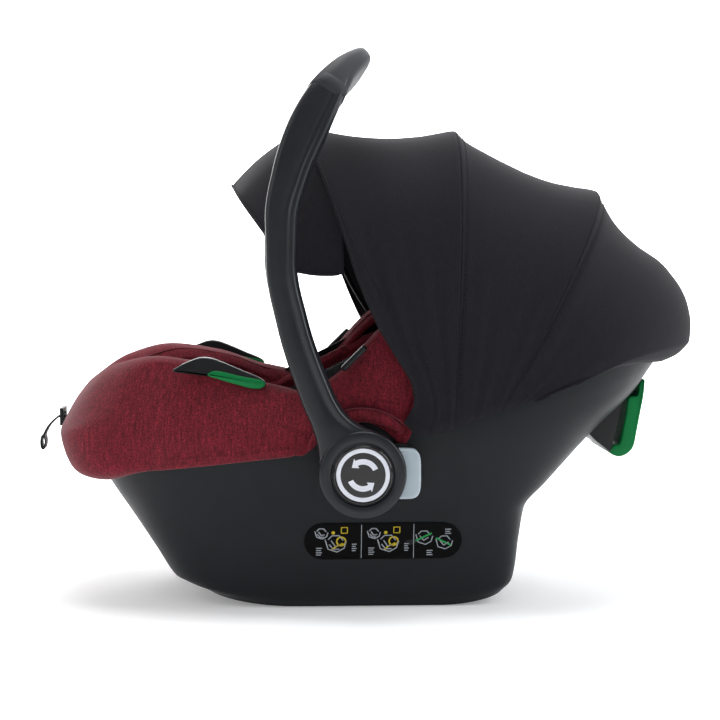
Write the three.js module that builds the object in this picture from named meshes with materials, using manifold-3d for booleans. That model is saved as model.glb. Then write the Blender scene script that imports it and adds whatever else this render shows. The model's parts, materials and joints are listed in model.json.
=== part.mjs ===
// Infant car seat with a carry handle and a folding sun canopy, in millimetres, +Z up.
// The origin is on the floor, in the middle of the flat of the rocker base, straight below the handle's pivot axis.
// +X points to the child's head, -X to the feet, and -Y is the child's left.
import * as THREE from "three";
import { mergeVertices } from "three/addons/utils/BufferGeometryUtils.js";
import Module from "manifold-3d";

const wasm = await Module();
wasm.setup();

const DEG = Math.PI / 180;
const GAP = 0.5; // between pieces that touch on the real seat

// ---- Driving dimensions ----
const WALL_THICK = 4.5;
const PIVOT = { x: 0, z: 143 }; // axis of the carry handle
const HUB_RADIUS = 42;
const HUB_INNER_Y = 203;
const HUB_OUTER_Y = 226;
const CANOPY = { x: 90, z: 197, halfWidth: 200, squareness: 2.8 }; // axis of the canopy's bows
const FABRIC = 2; // thickness of the canopy's cloth
const COVER_THICK = 8; // padded cover outside the shell
const FOAM_THICK = 21;
const PAD_THICK = 16;
const PIVOT_COVER_CUT = 49; // radius of the arch that the cover leaves around the handle's boss

// ---- Helpers ----
const vec = (x, y, z) => new THREE.Vector3(x, y, z);
const mix = (a, b, share) => a + (b - a) * share;

// A smooth function through [input, output] pairs that never overshoots them.
function through(pairs) {
  const slope = (i) => (pairs[i + 1][1] - pairs[i][1]) / (pairs[i + 1][0] - pairs[i][0]);
  const tangents = pairs.map((_, i) => {
    if (i === 0) return slope(0);
    if (i === pairs.length - 1) return slope(i - 1);
    const before = slope(i - 1);
    const after = slope(i);
    return before * after <= 0 ? 0 : (2 * before * after) / (before + after);
  });
  return (input) => {
    const x = Math.min(Math.max(input, pairs[0][0]), pairs[pairs.length - 1][0]);
    let i = 0;
    while (i < pairs.length - 2 && x > pairs[i + 1][0]) i += 1;
    const [x0, y0] = pairs[i];
    const [x1, y1] = pairs[i + 1];
    const h = x1 - x0;
    const s = (x - x0) / h;
    return (
      y0 * (1 + 2 * s) * (1 - s) ** 2 +
      tangents[i] * h * s * (1 - s) ** 2 +
      y1 * s * s * (3 - 2 * s) +
      tangents[i + 1] * h * s * s * (s - 1)
    );
  };
}

const signedPower = (value, power) => Math.sign(value) * Math.abs(value) ** power;

// A geometry from points and triangles, turned so that its faces point out.
function surface(points, triangles) {
  let volume = 0;
  for (const [a, b, c] of triangles) {
    volume += points[a].dot(points[b].clone().cross(points[c]));
  }
  const facing = volume < 0 ? triangles.map(([a, b, c]) => [a, c, b]) : triangles;
  const geometry = new THREE.BufferGeometry().setFromPoints(points);
  return geometry.setIndex(facing.flat());
}

// Joins two rings, with the diagonals of the second half turned so that both sides of the seat match.
function band(triangles, from, to, count) {
  for (let i = 0; i < count; i += 1) {
    const j = (i + 1) % count;
    if (2 * i < count) triangles.push([from + i, from + j, to + j], [from + i, to + j, to + i]);
    else triangles.push([from + i, from + j, to + i], [from + j, to + j, to + i]);
  }
}

// Closes a ring by strips across it, from each point to its mirror image, so that a flat stretch stays flat.
function capAcross(triangles, start, count, flip) {
  const half = Math.floor(count / 2);
  const add = (a, b, c) => triangles.push(flip ? [a, c, b] : [a, b, c]);
  for (let i = 0; i < half; i += 1) {
    const mirrorOf = (k) => start + ((count - k) % count);
    if (i > 0) add(start + i, start + i + 1, mirrorOf(i));
    if (i + 1 < half || count % 2) add(start + i + 1, mirrorOf(i + 1), mirrorOf(i));
  }
}

// A solid skinned over rings that all have the same number of points.
function loft(rings) {
  const count = rings[0].length;
  const triangles = [];
  for (let k = 0; k < rings.length - 1; k += 1) band(triangles, k * count, (k + 1) * count, count);
  capAcross(triangles, 0, count, true);
  capAcross(triangles, (rings.length - 1) * count, count, false);
  return surface(rings.flat(), triangles);
}

// A ring-shaped solid: sections joined one after another, and the last to the first.
function loop(sections) {
  const count = sections[0].length;
  const triangles = [];
  sections.forEach((_, k) => band(triangles, k * count, ((k + 1) % sections.length) * count, count));
  return surface(sections.flat(), triangles);
}

function solid(geometry) {
  const plain = geometry.clone();
  plain.deleteAttribute("normal");
  plain.deleteAttribute("uv");
  const merged = mergeVertices(plain, 1e-3);
  return new wasm.Manifold(
    new wasm.Mesh({
      numProp: 3,
      vertProperties: new Float32Array(merged.attributes.position.array),
      triVerts: new Uint32Array(merged.index.array),
    }),
  );
}

function geometryOf(manifold) {
  const { numProp, vertProperties, triVerts } = manifold.getMesh();
  const points = [];
  for (let i = 0; i < vertProperties.length; i += numProp) {
    points.push(vec(vertProperties[i], vertProperties[i + 1], vertProperties[i + 2]));
  }
  return new THREE.BufferGeometry().setFromPoints(points).setIndex([...triVerts]);
}

const cut = (geometry, ...tools) =>
  geometryOf(tools.reduce((left, tool) => left.subtract(solid(tool)), solid(geometry)));
const keep = (geometry, tool) => geometryOf(solid(geometry).intersect(solid(tool)));
const join = (geometry, ...others) =>
  geometryOf(others.reduce((whole, other) => whole.add(solid(other)), solid(geometry)));

function box(low, high) {
  const size = high.map((value, i) => value - low[i]);
  const geometry = new THREE.BoxGeometry(...size);
  return geometry.translate(...high.map((value, i) => (value + low[i]) / 2));
}

// A cylinder along Y, standing from one y to another at a place in the side view.
function rodAcross(place, radius, y0, y1, sides = 24) {
  const geometry = new THREE.CylinderGeometry(radius, radius, Math.abs(y1 - y0), sides);
  return geometry.translate(place.x, (y0 + y1) / 2, place.z);
}

// A plate: an outline of [x, z] points in the side view, between two values of y.
function plate(outline, y0, y1) {
  const shape = new THREE.Shape(outline.map(([x, z]) => new THREE.Vector2(x, z)));
  const depth = Math.abs(y1 - y0);
  const geometry = new THREE.ExtrudeGeometry(shape, { depth, bevelEnabled: false });
  return geometry.rotateX(Math.PI / 2).translate(0, Math.max(y0, y1), 0);
}

// A part sewn or moulded along a path: at each point of it, a flat section with rounded corners.
function sweep(path, sectionAt) {
  const rings = path.map((point, i) => {
    const ahead = path[Math.min(i + 1, path.length - 1)];
    const behind = path[Math.max(i - 1, 0)];
    const along = ahead.clone().sub(behind).normalize();
    const { outline, across } = sectionAt(i / (path.length - 1), point);
    const side = across.clone().addScaledVector(along, -across.dot(along)).normalize();
    const up = along.clone().cross(side);
    return outline.map(([a, b]) => point.clone().addScaledVector(side, a).addScaledVector(up, b));
  });
  return loft(rings);
}

// Outline of a rounded bar as [across, up] points, where half is half its size each way.
function roundedBar(halfAcross, halfUp, squareness = 3.2, count = 12) {
  return Array.from({ length: count }, (_, i) => {
    const t = ((i + 0.5) / count) * 2 * Math.PI;
    return [
      halfAcross * signedPower(Math.cos(t), 2 / squareness),
      halfUp * signedPower(Math.sin(t), 2 / squareness),
    ];
  });
}

const flatBar = (halfAcross, halfUp) => [
  [halfAcross, -halfUp],
  [halfAcross, halfUp],
  [-halfAcross, halfUp],
  [-halfAcross, -halfUp],
];

const smoothPath = (points, steps, closed = false) =>
  new THREE.CatmullRomCurve3(points, closed, "centripetal").getSpacedPoints(steps);

function mirrored(geometry) {
  const copy = geometry.clone().scale(1, -1, 1);
  const count = copy.attributes.position.count;
  const index = copy.index ? [...copy.index.array] : Array.from({ length: count }, (_, i) => i);
  for (let i = 0; i < index.length; i += 3) [index[i + 1], index[i + 2]] = [index[i + 2], index[i + 1]];
  return copy.setIndex([...index]);
}

// ---- Materials ----
function material(color, roughness, metalness = 0) {
  return new THREE.MeshStandardMaterial({ color, roughness, metalness });
}
const SHELL_PLASTIC = material("#2b2e31", 0.55);
const HANDLE_PLASTIC = material("#34383c", 0.45);
const GRIP_RUBBER = material("#3a3e43", 0.6);
const CAP_GLOSS = material("#1b1a1c", 0.15);
const BUTTON_GREY = material("#a7b4bb", 0.4);
const GUIDE_GREEN = material("#009a4e", 0.45);
const TRIM_BLACK = material("#202225", 0.5);
const CANOPY_CLOTH = material("#2d2c31", 0.9);
const RED_CLOTH = material("#72262f", 0.95);
const DARK_CLOTH = material("#2a2a2d", 0.95);
const WEBBING = material("#1e1f21", 0.8);
const FOAM = material("#3b3b3e", 0.9);
const STEEL = material("#b9bcc0", 0.3, 1);
const BUCKLE_RED = material("#c02a22", 0.35);
const LABEL_FILM = material("#101113", 0.35);

const seat = new THREE.Group();
function add(name, geometry, look, parent = seat) {
  const mesh = new THREE.Mesh(geometry, look);
  mesh.name = name;
  parent.add(mesh);
  return mesh;
}

// Adds a piece of the child's left side and its mirror image on the right.
function addBoth(name, left, look) {
  add(`${name}_left`, left, look);
  add(`${name}_right`, mirrored(left), look);
}

// ---- The shell's wall, from the floor up to the rim ----
const RING_POINTS = 28;
const WIDEST_X = 10; // where the seat is widest
const FLAT = { from: -62, to: 82 }; // flat stretch of the rocker base

// Height of the rocker's underside.
const rocker = (x) => 12.5 * (Math.max(FLAT.from - x, 0) / 95) ** 2 + 14 * (Math.max(x - FLAT.to, 0) / 75) ** 2;

// Each level: front x and z, tail x and z, half width, height at the side, squareness of the outline.
const LEVELS = [
  { front: [-156, 12], tail: [150, 12], half: 132, side: 0, square: 5 },
  { front: [-172, 14], tail: [159, 20], half: 139, side: 8, square: 5 },
  { front: [-187, 24], tail: [163, 40], half: 144, side: 24, square: 4.6 },
  { front: [-207, 53], tail: [166, 70], half: 152, side: 50, square: 4.2 },
  { front: [-230, 87], tail: [172, 98], half: 161, side: 82, square: 3.8 },
  { front: [-254, 121], tail: [200, 124], half: 171, side: 110, square: 3.4 },
  { front: [-271, 148], tail: [250, 172], half: 180, side: 133, square: 3 },
  { front: [-280, 170], tail: [296, 213], half: 185, side: 153, square: 2.8 },
  { front: [-283, 190], tail: [316, 240], half: 186, side: 166, square: 2.7 },
  { front: [-281, 205], tail: [338, 268], half: 182, side: 190, square: 2.7 },
  { front: [-275, 222], tail: [322, 298], half: 174, side: 215, square: 2.7 },
];
const TOP = LEVELS.length - 1;
const HEM_LEVEL = 8;
const levelled = (pick) => through(LEVELS.map((level, i) => [i, pick(level)]));
const wall = {
  frontX: levelled((l) => l.front[0]),
  frontZ: levelled((l) => l.front[1]),
  tailX: levelled((l) => l.tail[0]),
  tailZ: levelled((l) => l.tail[1]),
  half: levelled((l) => l.half),
  side: levelled((l) => l.side),
  square: levelled((l) => l.square),
};
const rimHeight = through([
  [-280, 214], [-250, 232], [-207, 241], [-150, 233], [-95, 216], [-55, 211], [-17, 232], [22, 273],
  [60, 294], [120, 304], [200, 306], [280, 304], [322, 298],
]);

function heightOf(level, x) {
  const at = Math.min(level, HEM_LEVEL);
  const front = x < WIDEST_X;
  const reach = front ? WIDEST_X - wall.frontX(at) : wall.tailX(at) - WIDEST_X;
  const share = Math.min(Math.abs(x - WIDEST_X) / reach, 1);
  const end = front ? wall.frontZ(at) : wall.tailZ(at);
  const plain = mix(wall.side(at), end, front ? share ** 2 : share ** 1.1);
  const low = at < 2 ? mix(rocker(x) + wall.side(at), plain, at / 2) : plain;
  return level > HEM_LEVEL ? mix(low, rimHeight(x), (level - HEM_LEVEL) / (TOP - HEM_LEVEL)) : low;
}

// A point of the wall's outside at an angle round the seat, moved out by some millimetres.
function wallPoint(angle, level, out = 0, rise = 0) {
  const power = 2 / wall.square(level);
  const c = Math.cos(angle);
  const reach = c > 0 ? wall.tailX(level) - WIDEST_X : WIDEST_X - wall.frontX(level);
  const shape = signedPower(c, power);
  const x = WIDEST_X + (reach + out) * shape;
  const y = (wall.half(level) + out) * signedPower(Math.sin(angle), power);
  return vec(x, y, heightOf(level, WIDEST_X + reach * shape) + rise);
}

const ringAngles = Array.from({ length: RING_POINTS }, (_, i) => (i / RING_POINTS) * 2 * Math.PI);
const wallRing = (level, out = 0, rise = 0) => ringAngles.map((angle) => wallPoint(angle, level, out, rise));

const wallSolid = (out) => loft(LEVELS.map((_, level) => wallRing(level, out, level === TOP ? out : 0)));

// The point of the wall at a height, found by halving the range of levels.
function wallPointAt(angle, height, out) {
  let low = 0;
  let high = TOP;
  for (let i = 0; i < 30; i += 1) {
    const middle = (low + high) / 2;
    if (wallPoint(angle, middle).z < height) low = middle;
    else high = middle;
  }
  const point = wallPoint(angle, low, out);
  point.z = height;
  return point;
}

// The space inside the wall, from a height above the shell's floor up past the rim.
function tub(out, { floor = WALL_THICK, top = TOP, above = 60 } = {}) {
  const rings = [wallRing(0, out - 1, floor)];
  for (let level = 1; level < top; level += 1) rings.push(wallRing(level, out, level === 1 ? floor * 0.6 : 0));
  rings.push(wallRing(top, out));
  if (above > 0) rings.push(wallRing(top, out, above));
  return loft(rings);
}

// ---- Outer shell, with two pockets underneath for the latch trays ----
const POCKETS = [
  { name: "front", x0: -84, x1: -24 },
  { name: "rear", x0: 28, x1: 84 },
];
const POCKET_HALF = 74;
const HARNESS_SLOT = { x: 128, z: 146 }; // where the harness passes through the back

function outerShell() {
  const rings = LEVELS.map((_, level) => wallRing(level));
  const openings = POCKETS.map(({ x0, x1 }) => box([x0, -POCKET_HALF, -5], [x1, POCKET_HALF, 20]));
  return cut(loft(rings), tub(-WALL_THICK), ...openings);
}
add("outer_shell", outerShell(), SHELL_PLASTIC);

// Trays close the pockets from inside, and each holds a steel bar that a car base or a pram latches on.
const TRAY_HEIGHT = 30;
for (const { name, x0, x1 } of POCKETS) {
  const half = POCKET_HALF - GAP;
  const outside = box([x0 + GAP, -half, 2.5], [x1 - GAP, half, TRAY_HEIGHT]);
  const flange = box([x0 - 8, -half - 8, 7.6], [x1 + 8, half + 8, 10.6]);
  const inside = box([x0 + 3.5, 3 - half, -5], [x1 - 3.5, half - 3, TRAY_HEIGHT - 3]);
  const bar = { x: (x0 + x1) / 2, z: 14 };
  const barHole = rodAcross(bar, 5.4, 3 - half, half - 3);
  const tray = cut(join(outside, flange), inside, barHole);
  add(`latch_tray_${name}`, tray, TRIM_BLACK);
  add(`latch_bar_${name}`, rodAcross(bar, 5, 3.4 - half, half - 3.4, 16), STEEL);
}

// ---- Inside: foam liner and padded insert ----
// Line of the seat in the side view, from the feet down to the hollow and up the back.
const SEAT_LINE = [
  [-258, 252], [-250, 214], [-215, 184], [-150, 144], [-80, 106], [-25, 88], [35, 90], [85, 118], [150, 172], [225, 236],
  [272, 278], [288, 330],
];
const seatCurve = new THREE.SplineCurve(SEAT_LINE.map(([x, z]) => new THREE.Vector2(x, z)));

// The room above the seat's line, narrowed from the wall by some millimetres.
function room(lift, inset) {
  const steps = 16;
  const outline = seatCurve.getSpacedPoints(steps).map((point, i) => {
    const along = seatCurve.getTangentAt(i / steps);
    return [point.x - along.y * lift, point.y + along.x * lift];
  });
  const [last] = outline[outline.length - 1];
  const [first] = outline[0];
  return keep(plate([...outline, [last, 420], [first, 420]], -300, 300), tub(-inset, { above: 150 }));
}

const FOAM_INSET = WALL_THICK + GAP + FOAM_THICK;
const foamBlock = keep(
  tub(-WALL_THICK - GAP - 0.2, { above: 0 }),
  box([-400, -300, TRAY_HEIGHT + 2], [400, 300, 500]),
);


// ---- Padded cover over the rim, with a skirt round the feet end ----
const SKIRT_END = 46; // where the skirt stops in front of the canopy
const skirtLow = (x) => Math.max(138, 137 + 0.108 * (x + 244));
function coverSection(angle) {
  const rim = wallPoint(angle, TOP);
  const end = THREE.MathUtils.smoothstep(rim.x, SKIRT_END, SKIRT_END + 16);
  const roll = 1 - THREE.MathUtils.smoothstep(rim.x, -268, -190); // the padded roll at the feet end
  const low = mix(skirtLow(rim.x), rim.z - 14, end) - 14 * roll;
  const thick = mix(COVER_THICK, 4, THREE.MathUtils.smoothstep(rim.x, -60, 40));
  const onWall = (out, height) => wallPointAt(angle, height, out);
  return [
    onWall(0.6, low),
    onWall(mix(thick - 1, 29, roll), low + 1.5),
    onWall(mix(thick + 1, 29.5, roll), mix(low, rim.z, 0.4)),
    onWall(mix(thick, 19, roll), mix(rim.z - 3, 183, roll)),
    wallPoint(angle, TOP, mix(thick - 4, 9, roll), mix(7, -9, roll)),
    wallPoint(angle, TOP, -12, 9),
    wallPoint(angle, TOP, -24, 4),
    wallPoint(angle, TOP, -22, 0.7),
    wallPoint(angle, TOP, 0.6, 0.7),
    onWall(0.7, mix(low, rim.z, 0.5)),
  ];
}
const pivotArch = (radius) => rodAcross(PIVOT, radius, -260, 260, 32);
const coverLoop = loop(ringAngles.map(coverSection));
add("seat_cover", cut(coverLoop, pivotArch(PIVOT_COVER_CUT), wallSolid(0.5)), RED_CLOTH);
coverLoop.translate(0, 0, -1);
add("foam_liner", cut(foamBlock, room(0, FOAM_INSET), coverLoop), FOAM);
const padBlock = keep(room(GAP, FOAM_INSET + GAP), tub(-10, { above: 0 }));
add("seat_pad", cut(padBlock, room(PAD_THICK, FOAM_INSET + PAD_THICK), coverLoop), RED_CLOTH);

// Red arch sewn on the cover round the handle's boss.
const arcPath = (centre, radius, from, to, y, steps) =>
  Array.from({ length: steps + 1 }, (_, i) => {
    const angle = mix(from, to, i / steps) * DEG;
    return vec(centre.x + radius * Math.sin(angle), y, centre.z + radius * Math.cos(angle));
  });
const archBand = sweep(arcPath(PIVOT, 55.5, -68, 46, -196.5, 12), (share) => {
  const size = 0.35 + 0.65 * Math.sin(Math.PI * share) ** 0.5;
  return { outline: roundedBar(3.2, 6 * size, 2.6, 8), across: vec(0, 1, 0) };
});
addBoth("cover_arch", archBand, RED_CLOTH);

// ---- Pivots and carry handle ----
const BUTTON = { x: 36, z: 142.4, reach: 20.6, half: 24.3, travel: 5 };
const ellipse = (x, z, a, b, count = 28) =>
  Array.from({ length: count }, (_, i) => {
    const t = (i / count) * 2 * Math.PI;
    return [x + a * Math.cos(t), z + b * Math.sin(t)];
  });

function pivotBoss() {
  const disc = rodAcross(PIVOT, HUB_RADIUS - 3, -170, -HUB_INNER_Y + GAP, 32);
  const pocketWall = plate(ellipse(BUTTON.x, BUTTON.z, BUTTON.reach + 4, BUTTON.half + 4), -170, -HUB_INNER_Y + GAP);
  const pocket = plate(ellipse(BUTTON.x, BUTTON.z, BUTTON.reach + GAP, BUTTON.half + GAP), -191, -230);
  const pocketOnly = cut(pocket, rodAcross(PIVOT, HUB_RADIUS - 8, -260, -100, 32));
  const bore = rodAcross(PIVOT, 8.5, -260, -160);
  return cut(join(disc, pocketWall), pocketOnly, bore, wallSolid(0.4));
}
addBoth("pivot_boss", pivotBoss(), SHELL_PLASTIC);

function releaseButton() {
  const body = plate(ellipse(BUTTON.x, BUTTON.z, BUTTON.reach, BUTTON.half), -197, -212);
  const crown = plate(ellipse(BUTTON.x, BUTTON.z, BUTTON.reach - 4, BUTTON.half - 4), -211, -214.5);
  return cut(join(body, crown), rodAcross(PIVOT, HUB_RADIUS + 1, -260, -100, 32));
}
addBoth("release_button", releaseButton(), BUTTON_GREY);

// Middle of the left arm and of half the grip, with half the width and half the thickness of the bar.
const HANDLE_SPINE = [
  { at: [-19, -214, 166], wide: 16, thick: 8.5, lean: -24 },
  { at: [-41.8, -214, 213], wide: 16, thick: 8.5, lean: -24 },
  { at: [-66.6, -214, 287], wide: 15.3, thick: 8.5, lean: -16 },
  { at: [-77, -214, 343], wide: 15, thick: 8.5, lean: -6 },
  { at: [-76.8, -213.5, 387], wide: 16, thick: 9, lean: 4 },
  { at: [-68, -212, 430], wide: 18, thick: 10, lean: 16 },
  { at: [-53, -208, 470], wide: 20, thick: 12, lean: 28 },
  { at: [-36, -196, 503], wide: 19, thick: 15, lean: 38 },
  { at: [-20, -170, 525], wide: 15, thick: 18, lean: 43 },
  { at: [-11, -130, 532], wide: 13.5, thick: 19.5, lean: 45 },
  { at: [-9, -60, 533], wide: 13.5, thick: 20, lean: 45 },
  { at: [-9, 0, 533], wide: 13.5, thick: 20, lean: 45 },
];
const spineOf = (pick) => HANDLE_SPINE.map((station, i) => [i / (HANDLE_SPINE.length - 1), pick(station)]);
const bar = {
  x: through(spineOf((s) => s.at[0])),
  y: through(spineOf((s) => s.at[1])),
  z: through(spineOf((s) => s.at[2])),
  wide: through(spineOf((s) => s.wide)),
  thick: through(spineOf((s) => s.thick)),
  lean: through(spineOf((s) => s.lean)),
};

// The whole handle's spine runs from 0 on the left hub to 1 on the right one.
const toHalf = (share) => 1 - Math.abs(2 * share - 1);
function spinePoint(share) {
  const half = toHalf(share);
  return vec(bar.x(half), share < 0.5 ? bar.y(half) : -bar.y(half), bar.z(half));
}
function handleSection(share, grow = 0) {
  const half = toHalf(share);
  const lean = bar.lean(half) * DEG;
  return {
    outline: roundedBar(bar.wide(half) + grow, bar.thick(half) + grow, 2.8, 10),
    across: vec(Math.cos(lean), 0, -Math.sin(lean)),
  };
}
function handleBar(from, to, steps, grow = 0) {
  const shareAt = (i) => mix(from, to, i / steps);
  const path = Array.from({ length: steps + 1 }, (_, i) => spinePoint(shareAt(i)));
  return sweep(path, (i) => handleSection(mix(from, to, i), grow));
}

const RECESS = { radius: 30, depth: 3 };
function handleSolid() {
  let whole = handleBar(0, 1, 40);
  for (const side of [-1, 1]) {
    const hub = rodAcross(PIVOT, HUB_RADIUS, side * HUB_INNER_Y, side * HUB_OUTER_Y, 32);
    const recess = rodAcross(PIVOT, RECESS.radius, side * (HUB_OUTER_Y - RECESS.depth), side * 240, 28);
    const bore = rodAcross(PIVOT, 8.5, side * 190, side * 240);
    const gearRoom = rodAcross(PIVOT, 27.5, side * 190, side * (HUB_INNER_Y + 9), 28);
    whole = cut(join(whole, hub), recess, bore, gearRoom);
  }
  return cut(whole, gripRecess());
}
const GRIP = { from: 0.33, to: 0.67, sink: 1.6 };
function gripRecess() {
  const sleeve = handleBar(GRIP.from, GRIP.to, 14, 5);
  return cut(sleeve, handleBar(GRIP.from - 0.02, GRIP.to + 0.02, 16, -GRIP.sink));
}
add("carry_handle", handleSolid(), HANDLE_PLASTIC);

const gripOverlay = cut(
  handleBar(GRIP.from + 0.002, GRIP.to - 0.002, 14, 0.6),
  handleBar(GRIP.from - 0.02, GRIP.to + 0.02, 16, 0.35 - GRIP.sink),
);
add("grip_overlay", gripOverlay, GRIP_RUBBER);

const hubCap = new THREE.LatheGeometry(
  [[0, 0.6], [28.6, 0.6], [28.6, 3.4], [27.4, 4.4], [25.6, 4.4], [24.6, 3.6], [0, 3.4]]
    .map(([r, h]) => new THREE.Vector2(r, h)),
  28,
);
hubCap.translate(PIVOT.x, HUB_OUTER_Y - RECESS.depth + 0.3, PIVOT.z);
addBoth("hub_cap", mirrored(hubCap), CAP_GLOSS);

function lockGear() {
  const teeth = 10;
  const outline = Array.from({ length: teeth * 4 }, (_, i) => {
    const angle = (i / (teeth * 4)) * 2 * Math.PI;
    const radius = i % 4 < 2 ? 26 : 22;
    return [PIVOT.x + radius * Math.cos(angle), PIVOT.z + radius * Math.sin(angle)];
  });
  return cut(plate(outline, -HUB_INNER_Y - 0.4, -HUB_INNER_Y - 8.4), rodAcross(PIVOT, 8.6, -260, -160));
}
addBoth("lock_gear", lockGear(), TRIM_BLACK);
addBoth("pivot_bolt", rodAcross(PIVOT, 8, -188, -HUB_OUTER_Y + RECESS.depth - 0.2, 20), STEEL);

// ---- Sun canopy: three bows on one axis, cloth between them, and a visor in front ----
// Crown line of the cloth in the side view, numbered by bow: 0 front, 1 middle, 2 rear, and 3 for the hem behind.
const CROWN = [
  [0, -57, 487], [0.18, -27, 480], [0.4, 7, 475], [0.6, 37, 473.5], [0.8, 68, 475.5], [0.93, 89, 479],
  [1, 104, 481.5], [1.07, 115, 471.5], [1.2, 133, 461], [1.37, 158, 448], [1.53, 183, 436.5], [1.7, 208, 428],
  [1.85, 230, 423.5], [2, 253, 419.5], [2.05, 259, 408], [2.15, 273, 387], [2.28, 299, 363.5], [2.42, 330, 344],
  [2.52, 343.5, 330.5], [2.6, 354, 316.5], [2.68, 361, 300], [2.76, 364.5, 280], [2.84, 363.5, 263], [2.9, 358, 255],
  [2.95, 349.5, 248], [3, 335, 242],
];
// Hem of the cloth on the left and right, by the same numbers.
const HEM = [
  [0, 41, 190], [0.2, 53, 179.5], [0.5, 66, 178.5], [0.8, 80, 181], [1, 90, 184], [1.5, 115, 193.5], [2, 138, 202],
  [2.5, 156, 208], [3, 170, 212],
];
const crown = { x: through(CROWN.map(([u, x]) => [u, x])), z: through(CROWN.map(([u, , z]) => [u, z])) };
const hem = { x: through(HEM.map(([u, x]) => [u, x])), z: through(HEM.map(([u, , z]) => [u, z])) };
// How far the front edge and the hem behind leave the straight line from hem to crown, in millimetres.
const frontBow = through([[0, 0], [0.07, 17], [0.13, 21], [0.2, 16], [0.33, 6], [0.5, 2], [0.7, 3], [1, 0]]);
const hemBow = through([[0, 0], [0.3, 7], [0.6, 11], [0.8, 8], [1, 0]]);

// A point of the canopy's outside: place along the crown, and share of the way round the arch from -1 to 1.
function canopyPoint(place, share, inset = 0) {
  const t = (Math.PI / 2) * (1 - Math.abs(share));
  const rise = Math.sin(t) ** (2 / CANOPY.squareness);
  const y = Math.sign(share) * (CANOPY.halfWidth - inset) * Math.max(Math.cos(t), 0) ** (2 / CANOPY.squareness);
  const straight = mix(hem.x(place), crown.x(place), rise) + Math.max(1 - place, 0) * frontBow(rise);
  const round = 0.25 * THREE.MathUtils.smoothstep(place, 2, 2.35) * (y / CANOPY.halfWidth) ** 2;
  const x = straight - round * Math.max(straight - CANOPY.x, 0) * rise; // the back is round seen from above
  const z = mix(hem.z(place), crown.z(place), rise) + Math.max(place - 2, 0) ** 4 * hemBow(rise);
  const inward = new THREE.Vector2(CANOPY.x - x, 230 - z).normalize().multiplyScalar(inset * rise);
  return vec(x + inward.x, y, z + inward.y);
}

// A sheet with a thickness, from two functions of u and v that both run from 0 to 1.
function sheet(outer, inner, alongU, alongV) {
  const grid = (pointAt) => {
    const points = [];
    for (let i = 0; i <= alongU; i += 1) {
      for (let j = 0; j <= alongV; j += 1) points.push(pointAt(i / alongU, j / alongV));
    }
    return points;
  };
  const width = alongV + 1;
  const under = (alongU + 1) * width;
  const triangles = [];
  const quad = (a, b, c, d) => triangles.push([a, b, c], [a, c, d]);
  for (let i = 0; i < alongU; i += 1) {
    for (let j = 0; j < alongV; j += 1) {
      const a = i * width + j;
      quad(a, a + 1, a + width + 1, a + width);
      quad(under + a, under + a + width, under + a + width + 1, under + a + 1);
    }
    const left = i * width;
    const right = left + alongV;
    quad(left, left + width, under + left + width, under + left);
    quad(right, under + right, under + right + width, right + width);
  }
  for (let j = 0; j < alongV; j += 1) {
    const far = alongU * width + j;
    quad(j, under + j, under + j + 1, j + 1);
    quad(far, far + 1, under + far + 1, under + far);
  }
  return surface([...grid(outer), ...grid(inner)], triangles);
}

function canopyPanel(from, to, steps) {
  const at = (inset) => (u, v) => canopyPoint(mix(from, to, u), 2 * v - 1, inset);
  return sheet(at(0), at(FABRIC), steps, 18);
}
add("canopy_cloth_front", canopyPanel(0, 0.998, 6), CANOPY_CLOTH);
add("canopy_cloth_middle", canopyPanel(1.002, 1.998, 6), CANOPY_CLOTH);
add("canopy_cloth_rear", canopyPanel(2.002, 3, 9), CANOPY_CLOTH);

// Each bow is a rod with a flat eye at both ends, and the eyes lie side by side on the axis.
const ROD = 2.4;
const EYE = { radius: 10, bore: 4.4, thick: 2.4 };
function bow(place, eyeY) {
  const steps = 22;
  const path = Array.from({ length: steps + 1 }, (_, i) => {
    const share = (2 * i) / steps - 1;
    const point = canopyPoint(place, share, 9);
    const rise = Math.sin((Math.PI / 2) * (1 - Math.abs(share)));
    const free = THREE.MathUtils.smoothstep(rise, 0.02, 0.42);
    const near = Math.sign(share) * eyeY * Math.max(1 - rise ** 3.2, 0) ** (1 / 2.6);
    const away = mix(6, 60, rise / 0.42);
    const heading = vec(crown.x(place) - CANOPY.x, 0, crown.z(place) - CANOPY.z).normalize();
    const close = vec(CANOPY.x, near, CANOPY.z).addScaledVector(heading, away);
    return close.lerp(point.setY(mix(near, point.y * (eyeY / CANOPY.halfWidth) * 1.01, free)), free);
  });
  const lean = Math.atan2(crown.x(place) - CANOPY.x, crown.z(place) - CANOPY.z);
  const across = vec(Math.cos(lean), 0, -Math.sin(lean));
  let whole = sweep(path, (share, point) => {
    const away = Math.hypot(point.x - CANOPY.x, point.z - CANOPY.z);
    const flat = mix(EYE.thick / 2 - 0.05, ROD, THREE.MathUtils.smoothstep(away, 20, 50));
    return { outline: roundedBar(ROD, flat, 2, 6), across };
  });
  for (const side of [-1, 1]) {
    const eye = rodAcross(CANOPY, EYE.radius, side * (eyeY - EYE.thick / 2), side * (eyeY + EYE.thick / 2), 18);
    whole = cut(join(whole, eye), rodAcross(CANOPY, EYE.bore, side * (eyeY - 4), side * (eyeY + 4), 12));
  }
  return whole;
}
add("bow_rear", bow(2, 187.6), TRIM_BLACK);
add("bow_middle", bow(1, 190.6), TRIM_BLACK);
add("bow_front", bow(0.01, 193.6), TRIM_BLACK);
const pinHead = rodAcross(CANOPY, 7, -195.3, -197, 14);
const pin = join(rodAcross(CANOPY, 4, -170, -196, 12), pinHead);
addBoth("canopy_pin", cut(pin, wallSolid(0.3)), TRIM_BLACK);

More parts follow.
